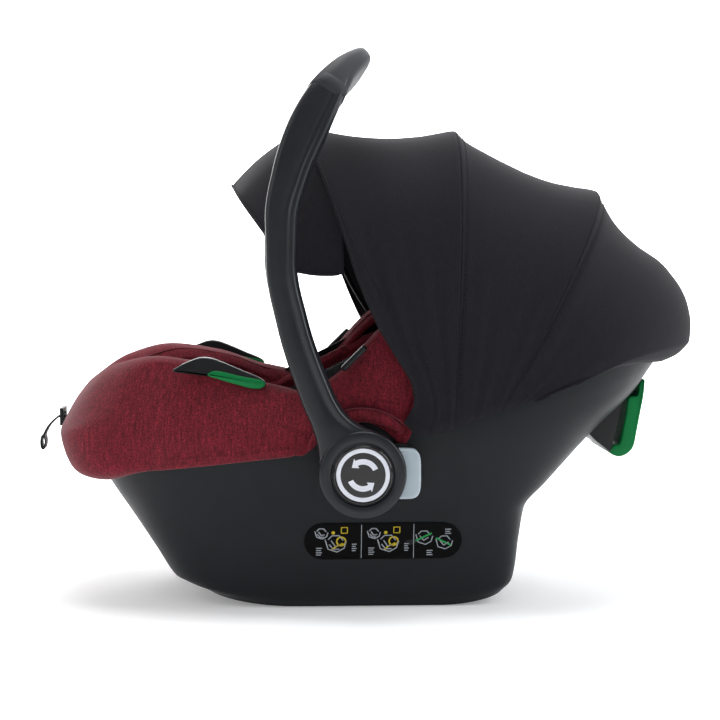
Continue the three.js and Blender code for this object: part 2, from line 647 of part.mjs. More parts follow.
// Visor: front edge of the cloth, and the line inside the front bow where it is sewn.
const VISOR_HINGE = { x: -14, y: 183, z: 336 };
const visorFront = {
  x: through([[0, -126.5], [0.35, -119], [0.6, -96], [0.8, -60], [0.92, -34], [1, -16]]),
  y: through([[0, 0], [0.35, 78], [0.6, 134], [0.8, 169], [0.92, 178], [1, 181]]),
  z: through([[0, 424.5], [0.35, 412], [0.6, 380], [0.8, 336], [0.92, 333], [1, 334]]),
};
const BOW_SHARE = 0.63; // share of the front arch at the height of the visor's hinge
function visorPoint(u, v, inset) {
  const side = 2 * v - 1;
  const share = Math.abs(side);
  const front = vec(visorFront.x(share), Math.sign(side) * visorFront.y(share), visorFront.z(share));
  const back = canopyPoint(0.01, side * BOW_SHARE, 4.4);
  const bulge = Math.sin(Math.PI * u) * 5 * (1 - share ** 4);
  const point = front.lerp(back, u);
  point.x -= bulge * 0.7;
  point.z += bulge * 0.7;
  const inward = vec(40, 0, 300).sub(point).normalize();
  return point.addScaledVector(inward, inset);
}
add("visor_cloth", sheet((u, v) => visorPoint(u, v, 0), (u, v) => visorPoint(u, v, FABRIC), 3, 18), CANOPY_CLOTH);

// ---- Headrest and harness ----
// A point above the line of the seat: share of the way from the feet to the head, y, and height over the line.
function onSeat(share, y, lift) {
  const point = seatCurve.getPointAt(share);
  const along = seatCurve.getTangentAt(share);
  return vec(point.x - along.y * lift, y, point.y + along.x * lift);
}
const BACK = { share: 0.775, lift: PAD_THICK + 10.5 };
const backAlong = seatCurve.getTangentAt(BACK.share);
const HEADREST = { wing: 102, height: 58, thick: 9, long: 62 };
function headrest() {
  const base = onSeat(BACK.share, 0, BACK.lift);
  const lifted = (y, n) => vec(base.x - backAlong.y * n, y, base.z + backAlong.x * n);
  const half = [[HEADREST.wing, HEADREST.height], [HEADREST.wing - 3, 24], [HEADREST.wing - 20, 5], [38, 0]];
  const left = half.map(([y, n]) => lifted(-y, n));
  const right = half.map(([y, n]) => lifted(y, n)).reverse();
  const across = vec(backAlong.x, 0, backAlong.y);
  return sweep(smoothPath([...left, ...right], 22), (share) => {
    const taper = 1 - 0.35 * Math.abs(2 * share - 1) ** 3;
    return { outline: roundedBar(HEADREST.long * taper, HEADREST.thick, 3.4, 12), across };
  });
}
add("headrest", headrest(), RED_CLOTH);

const STRAP = { half: 12.5, thick: 0.9 };
const shoulderLine = [
  [0.705, -32, 37.8], [0.68, -31.8, 35], [0.65, -31, 26.5], [0.62, -29.6, 21.5], [0.56, -27, 19.6], [0.5, -22, 21],
].map(([share, y, lift]) => onSeat(share, y, lift));
const strapSweep = (line, steps, half, thick) =>
  sweep(smoothPath(line, steps), () => ({ outline: flatBar(half, thick), across: vec(0, 1, 0) }));

const padLine = [[0.655, -31.2, 35], [0.625, -30, 29], [0.57, -27.6, 26.6], [0.52, -24.5, 27.4]].map(
  ([share, y, lift]) => onSeat(share, y, lift),
);
const shoulderPad = sweep(smoothPath(padLine, 8), () => ({
  outline: roundedBar(24, 4.6, 3.2, 10),
  across: vec(0, 1, 0),
}));
addBoth("shoulder_pad", shoulderPad, DARK_CLOTH);

// Buckle between the legs, with the tongues of both straps in its upper edge.
const buckleAt = onSeat(0.405, 0, 31);
const buckleAlong = seatCurve.getTangentAt(0.43);
const buckleUp = vec(-buckleAlong.y, 0, buckleAlong.x);
function fromBuckle(along, y, lift) {
  return vec(buckleAt.x, 0, buckleAt.z)
    .addScaledVector(vec(buckleAlong.x, 0, buckleAlong.y), along)
    .addScaledVector(buckleUp, lift)
    .add(vec(0, y, 0));
}
function inBuckle(geometry) {
  const turn = Math.atan2(buckleAlong.y, buckleAlong.x);
  return geometry.rotateY(-turn).translate(buckleAt.x, buckleAt.y, buckleAt.z);
}
const BUCKLE = { x: 24, y: 26, z: 9.5 };
const BUCKLE_BUTTON = { x: 9, y: 14, low: 2, high: 11.4, travel: 4 };
function buckleHousing() {
  const path = [-1, -0.86, 0.8, 1].map((share) => vec(share * BUCKLE.x, 0, 0));
  const sizes = [0.78, 1, 1, 0.86];
  const body = loft(
    path.map((point, i) =>
      roundedBar(BUCKLE.y * sizes[i], BUCKLE.z * sizes[i], 3.4, 12).map(([y, z]) => vec(point.x, y, z)),
    ),
  );
  const { x, y, low, travel } = BUCKLE_BUTTON;
  const well = box([-x - GAP - 2, -y - GAP, low - travel - 1], [x + GAP - 2, y + GAP, 20]);
  const slots = [-1, 1].map((side) => box([BUCKLE.x - 13, side * 12 - 8.8, -1.7], [BUCKLE.x + 5, side * 12 + 8.8, 1.7]));
  const crotchSlot = box([-BUCKLE.x - 5, -13.5, -1.8], [-BUCKLE.x + 8, 13.5, 1.8]);
  return inBuckle(cut(body, well, ...slots, crotchSlot));
}
add("buckle_housing", buckleHousing(), TRIM_BLACK);
const { x: bx, y: by, low: bLow, high: bHigh } = BUCKLE_BUTTON;
add("buckle_button", inBuckle(box([-bx - 2, -by, bLow], [bx - 2, by, bHigh])), BUCKLE_RED);
const tongueBar = box([BUCKLE.x - 12, -20, -1.1], [BUCKLE.x + 14, -4, 1.1]);
addBoth("buckle_tongue", inBuckle(tongueBar), STEEL);
shoulderLine.push(fromBuckle(54, -16, -1), fromBuckle(39, -15, 0));
addBoth("harness_strap", strapSweep(shoulderLine, 18, STRAP.half, STRAP.thick), WEBBING);

const crotchLine = [
  onSeat(0.3, 0, 19), onSeat(0.325, 0, 19.6), onSeat(0.345, 0, 25), fromBuckle(-BUCKLE.x - 5, 0, 0),
  fromBuckle(-BUCKLE.x + 6, 0, 0),
];
add("crotch_strap", strapSweep(crotchLine, 10, STRAP.half, STRAP.thick), WEBBING);

// Adjuster: a bezel on the front of the seat pad, its release button, and the pull strap that hangs from it.
const ADJUSTER = { x: -209.7, z: 205.8, tilt: 38 };
function onAdjuster(geometry) {
  return geometry.rotateY(ADJUSTER.tilt * DEG).translate(ADJUSTER.x, 0, ADJUSTER.z);
}
const bezelWell = box([-12.5, -15.5, -1.2], [12.5, 15.5, 20]);
add("adjuster_bezel", onAdjuster(cut(box([-17, -21, -2.5], [17, 21, 2.5]), bezelWell)), TRIM_BLACK);
add("adjuster_button", onAdjuster(box([-12, -15, 0.8], [12, 15, 3.8])), TRIM_BLACK);
const exitPlate = box([-307.6, -20, 173], [-303.8, 20, 191]);
add("strap_exit", cut(exitPlate, box([-320, -14, 179.5], [-290, 14, 186])), TRIM_BLACK);
const pullLine = [[-304.4, 182.6], [-310.4, 181.4], [-321, 171.5], [-327, 158], [-327.6, 147.5]];
const pullStrap = strapSweep(pullLine.map(([x, z]) => vec(x, 0, z)), 12, 12.5, 1.6);
add("pull_strap", pullStrap, WEBBING);

// ---- Belt guides and clips on the rim ----
const GUIDE_Y = 182;
const FRONT_GUIDE = [
  [-186, 238], [-176, 245.6], [-164, 251.4], [-154, 253], [-142, 250], [-118, 239.8], [-94, 229], [-92, 226.6],
  [-97, 226.4], [-122, 232.4], [-140, 238], [-158, 239.4],
];
const FRONT_HOOK = [
  [-141, 236.4], [-122, 231], [-97, 225], [-92, 225], [-90.6, 222.6], [-97, 220.4], [-121, 226.2], [-140, 231.4],
];
addBoth("front_belt_guide", plate(FRONT_GUIDE, -GUIDE_Y - 5, -GUIDE_Y + 5), TRIM_BLACK);
addBoth("front_belt_marker", plate(FRONT_HOOK, -GUIDE_Y - 6, -GUIDE_Y + 6), GUIDE_GREEN);

const RIM_CLIP = { from: [-18, 241], to: [4.6, 263.8] };
const clipPath = [0, 0.12, 0.88, 1].map((share) =>
  vec(mix(RIM_CLIP.from[0], RIM_CLIP.to[0], share), -GUIDE_Y - 5.5, mix(RIM_CLIP.from[1], RIM_CLIP.to[1], share)),
);
const rimClip = sweep(clipPath, (share) => ({
  outline: roundedBar(share > 0.05 && share < 0.95 ? 6 : 4, share > 0.05 && share < 0.95 ? 3.6 : 2, 2.8, 8),
  across: vec(0, 1, 0),
}));
addBoth("rim_clip", rimClip, TRIM_BLACK);

const REAR_BRACKET = [[246, 163], [249, 150], [257, 143], [270, 171], [280.5, 203], [276, 201], [258, 183]];
const REAR_HOOK = [
  [266, 140.6], [275, 141], [288, 166], [298.4, 195.4], [301.4, 216.4], [292.6, 205], [282, 171], [263.6, 142.2],
];
add("rear_belt_bracket", cut(plate(REAR_BRACKET, -64, 64), wallSolid(0.5)), TRIM_BLACK);
add("rear_belt_marker", plate(REAR_HOOK, -60, 60), GUIDE_GREEN);

// ---- Label on the left side, following the wall ----
const LABEL = { x0: -54.5, x1: 102, z0: 55.5, z1: 92.5 };
function wallY(x, z) {
  let low = Math.PI;
  let high = 2 * Math.PI;
  for (let i = 0; i < 30; i += 1) {
    const middle = (low + high) / 2;
    if (wallPointAt(middle, z, 0).x < x) low = middle;
    else high = middle;
  }
  return wallPointAt(low, z, 0).y;
}
function labelPoint(u, v, out) {
  const half = (LABEL.z1 - LABEL.z0) / 2;
  const z = mix(LABEL.z0, LABEL.z1, v);
  const reach = half * (1 - Math.sqrt(Math.max(1 - (2 * v - 1) ** 2, 0.06)));
  const x = mix(LABEL.x0 + reach, LABEL.x1 - reach, u);
  return vec(x, wallY(x, z) - out, z);
}
const label = sheet((u, v) => labelPoint(u, v, 2), (u, v) => labelPoint(u, v, 1.2), 8, 8);
add("label", label, LABEL_FILM);

export default seat;
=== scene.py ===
"""Looks for an infant car seat: shell, carry handle, sun canopy, padded cover and harness."""

import json
import math

import bmesh
import bpy
import numpy as np
from bpy.props import FloatProperty, FloatVectorProperty, PointerProperty
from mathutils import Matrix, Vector

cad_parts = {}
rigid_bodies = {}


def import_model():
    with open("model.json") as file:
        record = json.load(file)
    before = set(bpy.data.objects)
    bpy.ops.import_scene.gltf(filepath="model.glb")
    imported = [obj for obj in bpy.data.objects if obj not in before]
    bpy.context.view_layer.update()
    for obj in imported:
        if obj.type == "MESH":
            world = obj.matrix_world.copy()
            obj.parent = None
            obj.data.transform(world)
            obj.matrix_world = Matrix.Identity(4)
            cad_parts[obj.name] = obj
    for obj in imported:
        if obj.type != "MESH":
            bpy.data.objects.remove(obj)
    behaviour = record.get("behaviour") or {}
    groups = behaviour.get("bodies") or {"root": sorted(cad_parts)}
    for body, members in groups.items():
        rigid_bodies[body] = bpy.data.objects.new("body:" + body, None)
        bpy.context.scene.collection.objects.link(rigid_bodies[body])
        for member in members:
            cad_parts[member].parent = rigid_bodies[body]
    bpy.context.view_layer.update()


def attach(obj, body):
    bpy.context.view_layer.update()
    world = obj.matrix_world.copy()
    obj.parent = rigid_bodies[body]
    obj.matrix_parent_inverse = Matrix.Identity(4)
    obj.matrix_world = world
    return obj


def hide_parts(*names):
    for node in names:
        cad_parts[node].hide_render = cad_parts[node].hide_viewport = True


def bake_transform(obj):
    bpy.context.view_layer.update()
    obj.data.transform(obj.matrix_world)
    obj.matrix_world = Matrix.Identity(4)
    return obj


bl_info = {
    "name": "Infant Car Seat",
    "version": (1, 0, 0),
    "blender": (4, 5, 0),
    "location": "View3D > Sidebar > Car Seat",
    "description": "Builds the shell, handle, canopy, covers and harness of an infant car seat",
    "category": "Object",
}

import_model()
MM = 0.001
TURN = 2 * math.pi


# ---- Numbers and curves ----
def mix(low, high, share):
    """The value a share of the way from low to high."""
    return low + (high - low) * share


def smoothstep(low, high, value):
    """0 below low, 1 above high, and a smooth S between them."""
    t = np.clip((value - low) / (high - low), 0, 1)
    return t * t * (3 - 2 * t)


def signed_power(value, power):
    """The size of value to a power, with the sign of value."""
    return np.sign(value) * np.abs(value) ** power


def bump(value, centre, width):
    """A bell of height 1 round a centre."""
    return np.exp(-(((value - centre) / width) ** 2))


def through(pairs):
    """A smooth function through (input, output) pairs: cubic pieces with harmonic mean slopes."""
    xs, ys = (np.array(column, float) for column in zip(*pairs))
    steps = np.diff(xs)
    slopes = np.diff(ys) / steps
    before, after = slopes[:-1], slopes[1:]
    same_way = before * after > 0
    inner = np.where(same_way, 2 * before * after / np.where(same_way, before + after, 1), 0)
    tangents = np.concatenate([slopes[:1], inner, slopes[-1:]])

    def at(value):
        x = np.clip(value, xs[0], xs[-1])
        i = np.clip(np.searchsorted(xs, x, side="right") - 1, 0, len(steps) - 1)
        h = steps[i]
        s = (x - xs[i]) / h
        return (
            ys[i] * (1 + 2 * s) * (1 - s) ** 2
            + tangents[i] * h * s * (1 - s) ** 2
            + ys[i + 1] * s * s * (3 - 2 * s)
            + tangents[i + 1] * h * s * s * (s - 1)
        )

    return at


def unit(vectors):
    """Vectors of length 1 along the last axis."""
    return vectors / np.maximum(np.linalg.norm(vectors, axis=-1, keepdims=True), 1e-9)


def along(path):
    """The unit tangents of a path of points."""
    return unit(np.gradient(path, axis=0))


def travelled(path):
    """The distance travelled along a path, at each of its points."""
    return np.concatenate([[0], np.cumsum(np.linalg.norm(np.diff(path, axis=0), axis=1))])


def at_places(places, lengths, path):
    """The points of a path at places along it, on the straight lines between its own points."""
    return np.stack([np.interp(places, lengths, path[:, k]) for k in range(path.shape[1])], axis=-1)


def spline(p0, p1, p2, p3, t):
    """A uniform cubic from p1 to p2, whose slope at each is half the way between its neighbours."""
    bend = 2 * p0 - 5 * p1 + 4 * p2 - p3
    return 0.5 * (2 * p1 + (p2 - p0) * t + bend * t**2 + (3 * p1 - p0 - 3 * p2 + p3) * t**3)


def resample(path, count):
    """The same path as count points at equal distances, through a smooth curve over its length."""
    lengths = travelled(path)
    curves = [through(list(zip(lengths, path[:, k]))) for k in range(path.shape[1])]
    places = np.linspace(0, lengths[-1], count)
    return np.stack([curve(places) for curve in curves], axis=-1)


# ---- Meshes ----
def link(name, mesh):
    """A new object at the origin, linked to the scene."""
    obj = bpy.data.objects.new(name, mesh)
    bpy.context.scene.collection.objects.link(obj)
    return obj


def new_object(name, points, faces):
    """A smooth mesh object from points in millimetres and faces."""
    mesh = bpy.data.meshes.new(name)
    mesh.from_pydata((np.asarray(points, float).reshape(-1, 3) * MM).tolist(), [], faces)
    mesh.update()
    mesh.shade_smooth()
    return link(name, mesh)


def grid_faces(rows, columns, close_rows=False, close_columns=False, start=0):
    """Quads of a grid of points, which may run round on itself either way."""
    i, j = np.meshgrid(
        np.arange(rows if close_rows else rows - 1),
        np.arange(columns if close_columns else columns - 1),
        indexing="ij",
    )
    i, j = i.ravel(), j.ravel()
    k, m = (i + 1) % rows, (j + 1) % columns
    quads = np.stack([i * columns + j, i * columns + m, k * columns + m, k * columns + j], axis=1)
    return (quads + start).tolist()


def lengths_along(points, axis):
    """Distance travelled along one axis of a grid of points, averaged over the other, in metres."""
    steps = np.linalg.norm(np.diff(points, axis=axis), axis=-1).mean(axis=1 - axis)
    return np.concatenate([[0], np.cumsum(steps)]) * MM


def surface(name, points, close_rows=False, close_columns=False, caps=False):
    """An object from a grid of points, with a UV map in metres; a closed one is turned to face out."""
    rows, columns = points.shape[:2]
    faces = grid_faces(rows, columns, close_rows, close_columns)
    if caps:
        faces.append(list(range(columns))[::-1])
        faces.append(list(range((rows - 1) * columns, rows * columns)))
    obj = new_object(name, points, faces)
    u, v = lengths_along(points, 0), lengths_along(points, 1)
    uv = np.stack(np.meshgrid(u, v, indexing="ij"), axis=-1).reshape(-1, 2)
    loops = np.empty(len(obj.data.loops), int)
    obj.data.loops.foreach_get("vertex_index", loops)
    layer = obj.data.uv_layers.new(name="cloth")
    layer.data.foreach_set("uv", uv[loops].astype(np.float32).ravel())
    if caps or (close_rows and close_columns):
        face_out(obj)
    return obj


def face_out(obj, merge=1e-6):
    """Merges doubled points and turns the faces of a closed mesh outwards."""
    work = bmesh.new()
    work.from_mesh(obj.data)
    bmesh.ops.remove_doubles(work, verts=work.verts, dist=merge)
    bmesh.ops.recalc_face_normals(work, faces=work.faces)
    work.to_mesh(obj.data)
    work.free()
    obj.data.update()


def rings(path, across, outline):
    """Points of a bar along a path, its outline as [across, up], with up square to the path and across."""
    tangent = along(path)
    across = np.broadcast_to(across, path.shape)
    side = unit(across - tangent * np.sum(across * tangent, axis=1, keepdims=True))
    up = np.cross(tangent, side)
    outline = np.broadcast_to(outline, (len(path), *np.shape(outline)[-2:]))
    return path[:, None] + side[:, None] * outline[..., :1] + up[:, None] * outline[..., 1:]


def rounded(half_across, half_up, squareness=3.0, count=24):
    """Outline of a bar: a superellipse of count points."""
    t = (np.arange(count) + 0.5) / count * TURN
    power = 2 / squareness
    return np.stack(
        [half_across * signed_power(np.cos(t), power), half_up * signed_power(np.sin(t), power)], axis=-1
    )


def bar(name, path, across, outline):
    """A closed bar along a path, with both ends capped."""
    return surface(name, rings(path, across, outline), close_columns=True, caps=True)


def tapered(outline, count, share):
    """Copies of an outline along a bar, shrunk to nothing over a rounded stretch at both ends."""
    t = np.linspace(0, 1, count)
    edge = np.clip(np.minimum(t, 1 - t) / share, 0, 1)
    size = np.sqrt(1 - (1 - edge) ** 2)
    return outline[None] * np.maximum(size, 0.03)[:, None, None]


def modifier(obj, kind, **settings):
    """Adds a modifier with its settings."""
    added = obj.modifiers.new(kind.title(), kind)
    for key, value in settings.items():
        setattr(added, key, value)
    return added


def apply_modifiers(obj):
    """Bakes the modifiers of an object into its mesh."""
    evaluated = obj.evaluated_get(bpy.context.evaluated_depsgraph_get())
    mesh = bpy.data.meshes.new_from_object(evaluated)
    obj.modifiers.clear()
    obj.data = mesh
    return obj


def merged(name, objects):
    """One object from several, which are removed."""
    work = bmesh.new()
    for obj in objects:
        work.from_mesh(obj.data)
        bpy.data.objects.remove(obj)
    mesh = bpy.data.meshes.new(name)
    work.to_mesh(mesh)
    work.free()
    mesh.shade_smooth()
    return link(name, mesh)


def coordinates(obj):
    """The points of a mesh in millimetres."""
    flat = np.empty(len(obj.data.vertices) * 3)
    obj.data.vertices.foreach_get("co", flat)
    return flat.reshape(-1, 3) / MM


def normals_of(obj):
    """The normals at the points of a mesh."""
    flat = np.empty(len(obj.data.vertices) * 3)
    obj.data.vertices.foreach_get("normal", flat)
    return flat.reshape(-1, 3)


def set_coordinates(obj, points):
    """Puts points in millimetres into a mesh."""
    obj.data.vertices.foreach_set("co", (points * MM).ravel())
    obj.data.update()


def mirrored(obj, name):
    """The copy of a piece on the other side of the seat."""
    mesh = obj.data.copy()
    twin = link(name, mesh)
    set_coordinates(twin, coordinates(obj) * [1, -1, 1])
    mesh.flip_normals()
    return twin


def place(obj, body, slot, material, *nodes):
    """Gives a finished piece its material, hides its nodes, and puts it on its body if it has one; the slot
    is not used.
    """
    obj.data.materials.clear()
    obj.data.materials.append(material)
    if body:
        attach(obj, body)
    if nodes:
        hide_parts(*nodes)
    return obj


def place_pair(left, body, slot, material, node_stem=None):
    """Places a piece of the left side and its mirror image on the right side, and gives both."""
    pair = (left, mirrored(left, left.name.replace("left", "right")))
    for obj, side in zip(pair, ("left", "right")):
        place(obj, body, slot, material, *([f"{node_stem}_{side}"] if node_stem else []))
    return pair


# ---- Materials ----
def linear(hex_code):
    """The linear colour of an sRGB hex value."""
    parts = [int(hex_code[i : i + 2], 16) / 255 for i in (1, 3, 5)]
    return [c / 12.92 if c <= 0.04045 else ((c + 0.055) / 1.055) ** 2.4 for c in parts] + [1.0]


def node(tree, kind, inputs=None, stops=(), **settings):
    """Adds a node with its settings and its ramp's (position, hex colour) stops.

    Its inputs map a socket to a value, or to a (node, output) that is linked to it.
    """
    added = tree.nodes.new(kind)
    for place_in_ramp, (position, colour) in enumerate(stops):
        elements = added.color_ramp.elements
        element = elements[place_in_ramp] if place_in_ramp < len(elements) else elements.new(position)
        element.position = position
        element.color = linear(colour)
    for key, value in settings.items():
        setattr(added, key, value)
    for key, value in (inputs or {}).items():
        if isinstance(value, tuple) and isinstance(value[0], bpy.types.Node):
            tree.links.new(value[0].outputs[value[1]], added.inputs[key])
        else:
            added.inputs[key].default_value = value
    return added


def new_material(name, **constants):
    """A material with one Principled shader, and its constant values on the shader's own sockets."""
    material = bpy.data.materials.new(name)
    material.use_nodes = True
    tree = material.node_tree
    tree.nodes.clear()
    shader = node(tree, "ShaderNodeBsdfPrincipled", constants)
    node(tree, "ShaderNodeOutputMaterial", {"Surface": (shader, "BSDF")})
    return material, tree, shader


def moulded_plastic(name, colour, light, roughness, bump_mm=0.02, gloss=0.28, haze_mm=38, grain_mm=0.8):
    """Injection-moulded plastic: an even colour, a fine spark-eroded grain, sheen changed by handling."""
    material, tree, shader = new_material(name, **{"IOR": 1.49, "Specular IOR Level": gloss})
    source = (node(tree, "ShaderNodeTexCoord"), "Object")
    cloud = {"Vector": source, "Scale": 1 / (haze_mm * MM), "Detail": 4.0, "Roughness": 0.6}
    haze = node(tree, "ShaderNodeTexNoise", cloud)
    grit = node(tree, "ShaderNodeTexNoise", {"Vector": source, "Scale": 1 / (grain_mm * MM)})
    tint = node(tree, "ShaderNodeValToRGB", {"Fac": (haze, "Fac")}, [(0.3, colour), (0.72, light)])
    wear = {"Value": (haze, "Fac"), "From Min": 0.3, "From Max": 0.7}
    wear |= {"To Min": roughness - 0.04, "To Max": roughness + 0.05}
    sheen = node(tree, "ShaderNodeMapRange", wear)
    relief = node(
        tree, "ShaderNodeBump", {"Height": (grit, "Fac"), "Strength": 0.4, "Distance": bump_mm * MM}
    )
    tree.links.new(tint.outputs["Color"], shader.inputs["Base Color"])
    tree.links.new(sheen.outputs["Result"], shader.inputs["Roughness"])
    tree.links.new(relief.outputs["Normal"], shader.inputs["Normal"])
    return material


def cloth(name, stops, fleck_mm, roughness, sheen, relief_mm=0.15, streak=0.0, fade=0.1):
    """Knitted or plain-woven cloth: flecks of yarn, a faint streak down it, and soft large shades."""
    constants = {"IOR": 1.46, "Specular IOR Level": 0.15, "Sheen Weight": sheen, "Sheen Roughness": 0.5}
    material, tree, shader = new_material(name, **constants)
    source = (node(tree, "ShaderNodeTexCoord"), "Object")
    drawn = (node(tree, "ShaderNodeMapping", {"Vector": source, "Scale": (1.0, 1.0, 0.12)}), "Vector")
    fleck = {"Vector": source, "Scale": 1 / (fleck_mm * MM), "Detail": 3.0, "Roughness": 0.62}
    yarn = node(tree, "ShaderNodeTexNoise", fleck)
    streaks = node(tree, "ShaderNodeTexNoise", {"Vector": drawn, "Scale": 1 / (fleck_mm * 1.6 * MM)})
    mixed = node(
        tree, "ShaderNodeMix", {0: streak, 2: (yarn, "Fac"), 3: (streaks, "Fac")}, data_type="FLOAT"
    )
    body = node(tree, "ShaderNodeValToRGB", {"Fac": (mixed, 0)}, stops)
    cloud = node(tree, "ShaderNodeTexNoise", {"Vector": source, "Scale": 1 / (60 * MM), "Detail": 3.0})
    shade = node(
        tree, "ShaderNodeMapRange", {"Value": (cloud, "Fac"), "To Min": 1 - fade, "To Max": 1 + fade}
    )
    toned = node(
        tree, "ShaderNodeVectorMath", {0: (body, "Color"), "Scale": (shade, "Result")}, operation="SCALE"
    )
    relief = node(
        tree, "ShaderNodeBump", {"Height": (mixed, 0), "Strength": 0.6, "Distance": relief_mm * MM}
    )
    matt = {"Value": (yarn, "Fac"), "To Min": min(roughness + 0.06, 1), "To Max": roughness - 0.05}
    rough = node(tree, "ShaderNodeMapRange", matt)
    tree.links.new(toned.outputs["Vector"], shader.inputs["Base Color"])
    tree.links.new(rough.outputs["Result"], shader.inputs["Roughness"])
    tree.links.new(relief.outputs["Normal"], shader.inputs["Normal"])
    return material


def strap_weave(name, dark, light, pitch_mm, roughness):
    """Webbing: ribs across the strap at a pitch and twill lines along it, on the strap's own UV map."""
    constants = {"IOR": 1.46, "Specular IOR Level": 0.25, "Roughness": roughness}
    material, tree, shader = new_material(name, **constants)
    source = (node(tree, "ShaderNodeTexCoord"), "UV")
    ribs = [
        node(
            tree, "ShaderNodeTexWave",
            {"Vector": source, "Scale": TURN / (20 * pitch * MM), "Distortion": 0.8, "Detail": 1.0},
            bands_direction=direction,
        )
        for direction, pitch in (("X", pitch_mm), ("DIAGONAL", 2.2 * pitch_mm))
    ]
    weave = node(tree, "ShaderNodeMath", {0: (ribs[0], "Fac"), 1: (ribs[1], "Fac")}, operation="MULTIPLY")
    tint = node(tree, "ShaderNodeValToRGB", {"Fac": (weave, "Value")}, [(0.0, dark), (0.8, light)])
    relief = node(
        tree, "ShaderNodeBump", {"Height": (weave, "Value"), "Strength": 0.6, "Distance": 0.3 * MM}
    )
    tree.links.new(tint.outputs["Color"], shader.inputs["Base Color"])
    tree.links.new(relief.outputs["Normal"], shader.inputs["Normal"])
    return material


